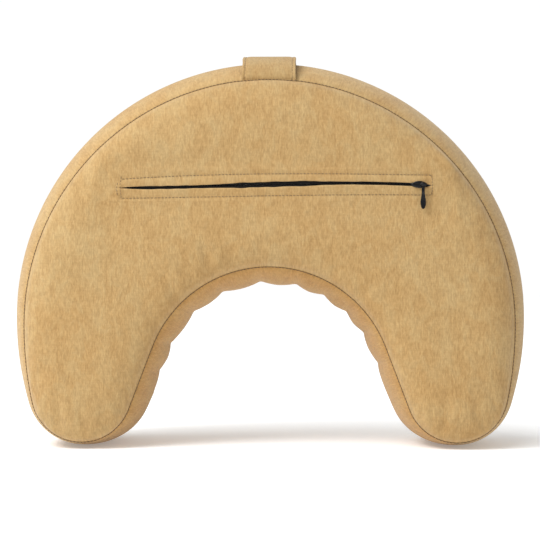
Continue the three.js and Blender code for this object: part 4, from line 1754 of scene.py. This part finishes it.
class CUSHION_OT_pull(Operator):
    """Pull tab: collar round the bridge, slim neck and teardrop"""
    bl_idname = "cushion.pull"
    bl_label = "Zipper Pull"

    def execute(self, context):
        low, high = PULL_BOX
        x = (low.x + high.x) / 2
        bar_y = (low.y + high.y) / 2
        collar_radius = (high.y - low.y) / 2
        deselect()
        bpy.ops.mesh.primitive_cylinder_add(vertices=32, radius=collar_radius, depth=0.0036,
                                            location=(x, bar_y, ZIP_Z),
                                            rotation=(0, math.pi / 2, 0))
        collar = bpy.context.object
        settle_place(collar)
        in_edit_mode(collar)
        select_faces(collar, lambda c, normal: abs(normal.x) > 0.9)
        bpy.ops.mesh.inset(thickness=collar_radius - 0.00095, depth=0)
        bpy.ops.mesh.bridge_edge_loops()
        leave_edit_mode()
        soften(collar, 0.0002, 2, 0.9)
        half_thick = 0.00065
        top = ZIP_Z - 0.0012
        widths = ((0.0018, 0.0013), (0.0042, 0.00128), (0.0066, 0.00135), (0.0085, 0.0016),
                  (0.0105, 0.00195), (0.0125, 0.00226), (0.0142, 0.00235), (0.0160, 0.00226),
                  (0.0178, 0.00192), (0.0192, 0.00138), (0.0200, 0.00075))
        tab = box_between("pull_tab", (x - 0.0013, bar_y - half_thick, top - 0.0006),
                          (x + 0.0013, bar_y + half_thick, top))
        in_edit_mode(tab)
        select_faces(tab, lambda c, normal: normal.z < -0.9)
        depth, width = 0.0006, 0.0013
        for next_depth, next_width in widths:
            bpy.ops.mesh.extrude_region_move(
                TRANSFORM_OT_translate={"value": (0, 0, depth - next_depth)})
            grow = next_width / width
            bpy.ops.transform.resize(value=(grow, 1, 1), orient_type="GLOBAL",
                                     center_override=(x, bar_y, top - next_depth))
            depth, width = next_depth, next_width
        select_faces(tab, lambda c, normal: abs(normal.y) > 0.9 and c.z < top - 0.0075)
        bpy.ops.mesh.inset(thickness=0.00042, depth=-0.00022)
        leave_edit_mode()
        soften(tab, 0.0003, 3, 0.5)
        piece = join_into("pull_tab_drop", [collar, tab])
        enamel = finish_of("slider_black_enamel", enamel_finish, "enamel")
        dress(piece, "pull", "slider_enamel", enamel, "zipper_pull_tab")
        return {"FINISHED"}


# ------------------------------------------------------------------ operators: inside


CASE_EASE = 0.0012  # the case is this much flatter than its packed panels
CASE_CLOTH = 0.0005
FILLING_EASE = 0.0026  # and the filling this much
FILLING_INSET = 0.0024
LUMP_DEPTH = 0.0022


class CUSHION_OT_case(Operator):
    """Plain cotton case that holds the filling"""
    bl_idname = "cushion.case"
    bl_label = "Inner Case"

    def execute(self, context):
        sizes = context.scene.cushion_cover
        front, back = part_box("case_front_panel"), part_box("case_back_panel")
        inset = SEAM_TOP - front[1].z
        middle = (front[1].y + back[0].y) / 2
        half = (back[0].y - front[1].y) / 2 - 0.0002
        crown = front[1].y - front[0].y - CASE_EASE
        cage = Cage(sizes, 96, 24, 14, inset, half, (crown, crown), middle, 0.0012, 0.0016)
        material = finish_of("case_cotton", cotton_finish, "cotton")
        for name, shape, node in (
                ("case_front_cloth", face_panel(cage, cage.points, FRONT), "case_front_panel"),
                ("case_back_cloth", face_panel(cage, cage.points, BACK), "case_back_panel"),
                ("case_outer_cloth", gusset_panel(cage, cage.points, True)[:2],
                 "case_outer_gusset"),
                ("case_arch_cloth", gusset_panel(cage, cage.points, False)[:2],
                 "case_inner_gusset")):
            piece = mesh_object(name, *shape)
            finish_cloth(piece, CASE_CLOTH)
            dress(piece, "cover", "case_cotton", material, node)
        return {"FINISHED"}


class CUSHION_OT_filling(Operator):
    """Loose lumpy filling inside the case"""
    bl_idname = "cushion.filling"
    bl_label = "Filling"

    def execute(self, context):
        sizes = context.scene.cushion_cover
        front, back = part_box("case_front_panel"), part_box("case_back_panel")
        inset = SEAM_TOP - front[1].z + FILLING_INSET
        middle = (front[1].y + back[0].y) / 2
        half = (back[0].y - front[1].y) / 2 - 0.0018
        crown = front[1].y - front[0].y - FILLING_EASE
        cage = Cage(sizes, 120, 30, 20, inset, half, (crown, crown), middle, 0.001, 0.0042)
        piece = mesh_object("husk_mass", cage.points, cage.faces)
        apply_modifier(piece, "SUBSURF", levels=1, render_levels=1)
        points = vertex_array(piece)
        normals = np.zeros(len(points) * 3)
        piece.data.vertices.foreach_get("normal", normals)
        x, y, z = points.T
        lumps = (ripple(71, 6, 0.008, 0.02)(x + 0.4 * z) * ripple(72, 6, 0.008, 0.02)(z - 0.5 * y)
                 + ripple(73, 6, 0.01, 0.03)(y + 0.7 * x))
        lumps = (lumps - lumps.max()) / (lumps.max() - lumps.min())
        set_vertices(piece, points + normals.reshape(-1, 3) * (LUMP_DEPTH * lumps)[:, None])
        smooth(piece)
        material = finish_of("loose_husks", husk_finish, "husk")
        dress(piece, "cover", "husk_filling", material, "filling")
        return {"FINISHED"}


# ------------------------------------------------------------------ operators: stage


CAMERA_DISTANCE = 1.45
CAMERA_HEIGHT = 0.157
CAMERA_TURN = math.radians(1.2)
VIEW_WIDTH = 0.4898
SENSOR_MM = 36.0
KEY_PLACE, KEY_AIM = (-0.75, -0.62, 0.95), (0, 0, 0.16)
KEY_SIZE, KEY_WATTS, KEY_COLOUR = 0.5, 7.4, (0.99, 0.985, 1.0)
SUN_DIRECTION, SUN_STRENGTH = (0.42, 0.36, -0.83), 2.2
SKY_LIGHT, SKY_SEEN = 0.5, 1.02  # how strongly the sky lights the scene, and how it looks behind it


class CUSHION_OT_stage(Operator):
    """Pale floor, soft daylight from the upper left and the camera"""
    bl_idname = "cushion.stage"
    bl_label = "Stage"

    def execute(self, context):
        scene = context.scene
        deselect()
        bpy.ops.mesh.primitive_plane_add(size=14, location=(0, 0, 0))
        floor = context.object
        floor.name = "floor"
        floor.data.materials.append(floor_finish())
        world = bpy.data.worlds.new("daylight")
        world.use_nodes = True
        background = world.node_tree.nodes["Background"]
        background.inputs["Color"].default_value = (1.0, 1.0, 1.0, 1)
        rays = world.node_tree.nodes.new("ShaderNodeLightPath")
        brightness = world.node_tree.nodes.new("ShaderNodeMapRange")
        brightness.inputs["To Min"].default_value = SKY_LIGHT
        brightness.inputs["To Max"].default_value = SKY_SEEN
        world.node_tree.links.new(rays.outputs["Is Camera Ray"], brightness.inputs["Value"])
        world.node_tree.links.new(brightness.outputs[0], background.inputs["Strength"])
        scene.world = world
        deselect()
        bpy.ops.object.light_add(type="SUN", location=(0, 0, 3))
        sun = context.object
        sun.name = "overhead_softbox"
        sun.data.energy = SUN_STRENGTH
        sun.data.color = (0.94, 0.97, 1.0)
        sun.data.angle = math.radians(50)
        sun.rotation_euler = Vector(SUN_DIRECTION).to_track_quat("-Z", "Y").to_euler()
        deselect()
        bpy.ops.object.light_add(type="AREA", location=KEY_PLACE)
        key = context.object
        key.name = "key_light"
        key.data.size = KEY_SIZE
        key.data.energy = KEY_WATTS
        key.data.color = KEY_COLOUR
        aim = Vector(KEY_AIM) - Vector(KEY_PLACE)
        key.rotation_euler = aim.to_track_quat("-Z", "Y").to_euler()
        place = (CAMERA_DISTANCE * math.sin(CAMERA_TURN),
                 MIDDLE_Y - CAMERA_DISTANCE * math.cos(CAMERA_TURN), CAMERA_HEIGHT)
        deselect()
        bpy.ops.object.camera_add(location=place, rotation=(math.pi / 2, 0, CAMERA_TURN))
        camera = context.object
        camera.name = "front_camera"
        camera.data.sensor_width = SENSOR_MM
        camera.data.lens = SENSOR_MM * CAMERA_DISTANCE / VIEW_WIDTH
        scene.camera = camera
        scene.view_settings.view_transform = "Standard"
        return {"FINISHED"}


# ------------------------------------------------------------------ add-on


OPERATORS = (
    CUSHION_OT_stage,
    CUSHION_OT_front_panel,
    CUSHION_OT_back_panel,
    CUSHION_OT_gussets,
    CUSHION_OT_seam_stitches,
    CUSHION_OT_strap,
    CUSHION_OT_slit_stitches,
    CUSHION_OT_tapes,
    CUSHION_OT_coils,
    CUSHION_OT_stops,
    CUSHION_OT_slider,
    CUSHION_OT_pull,
    CUSHION_OT_case,
    CUSHION_OT_filling,
)


class CUSHION_PT_build(Panel):
    """Sizes, finishes and build steps of the cushion"""
    bl_idname = "CUSHION_PT_build"
    bl_label = "Lumbar Cushion"
    bl_space_type = "VIEW_3D"
    bl_region_type = "UI"
    bl_category = "Cushion"

    def draw(self, context):
        for name, group in SETTINGS.items():
            box = self.layout.box()
            values = getattr(context.scene, name)
            for key in group.__annotations__:
                box.prop(values, key)
        for operator in OPERATORS:
            self.layout.operator(operator.bl_idname)


CLASSES = tuple(SETTINGS.values()) + OPERATORS + (CUSHION_PT_build,)


def register():
    for item in CLASSES:
        bpy.utils.register_class(item)
    for name, group in SETTINGS.items():
        setattr(bpy.types.Scene, name, PointerProperty(type=group))


def unregister():
    for name in SETTINGS:
        delattr(bpy.types.Scene, name)
    for item in reversed(CLASSES):
        bpy.utils.unregister_class(item)


def main():
    register()
    for operator in OPERATORS:
        group, name = operator.bl_idname.split(".")
        getattr(getattr(bpy.ops, group), name)()


if __name__ == "__main__":
    main()
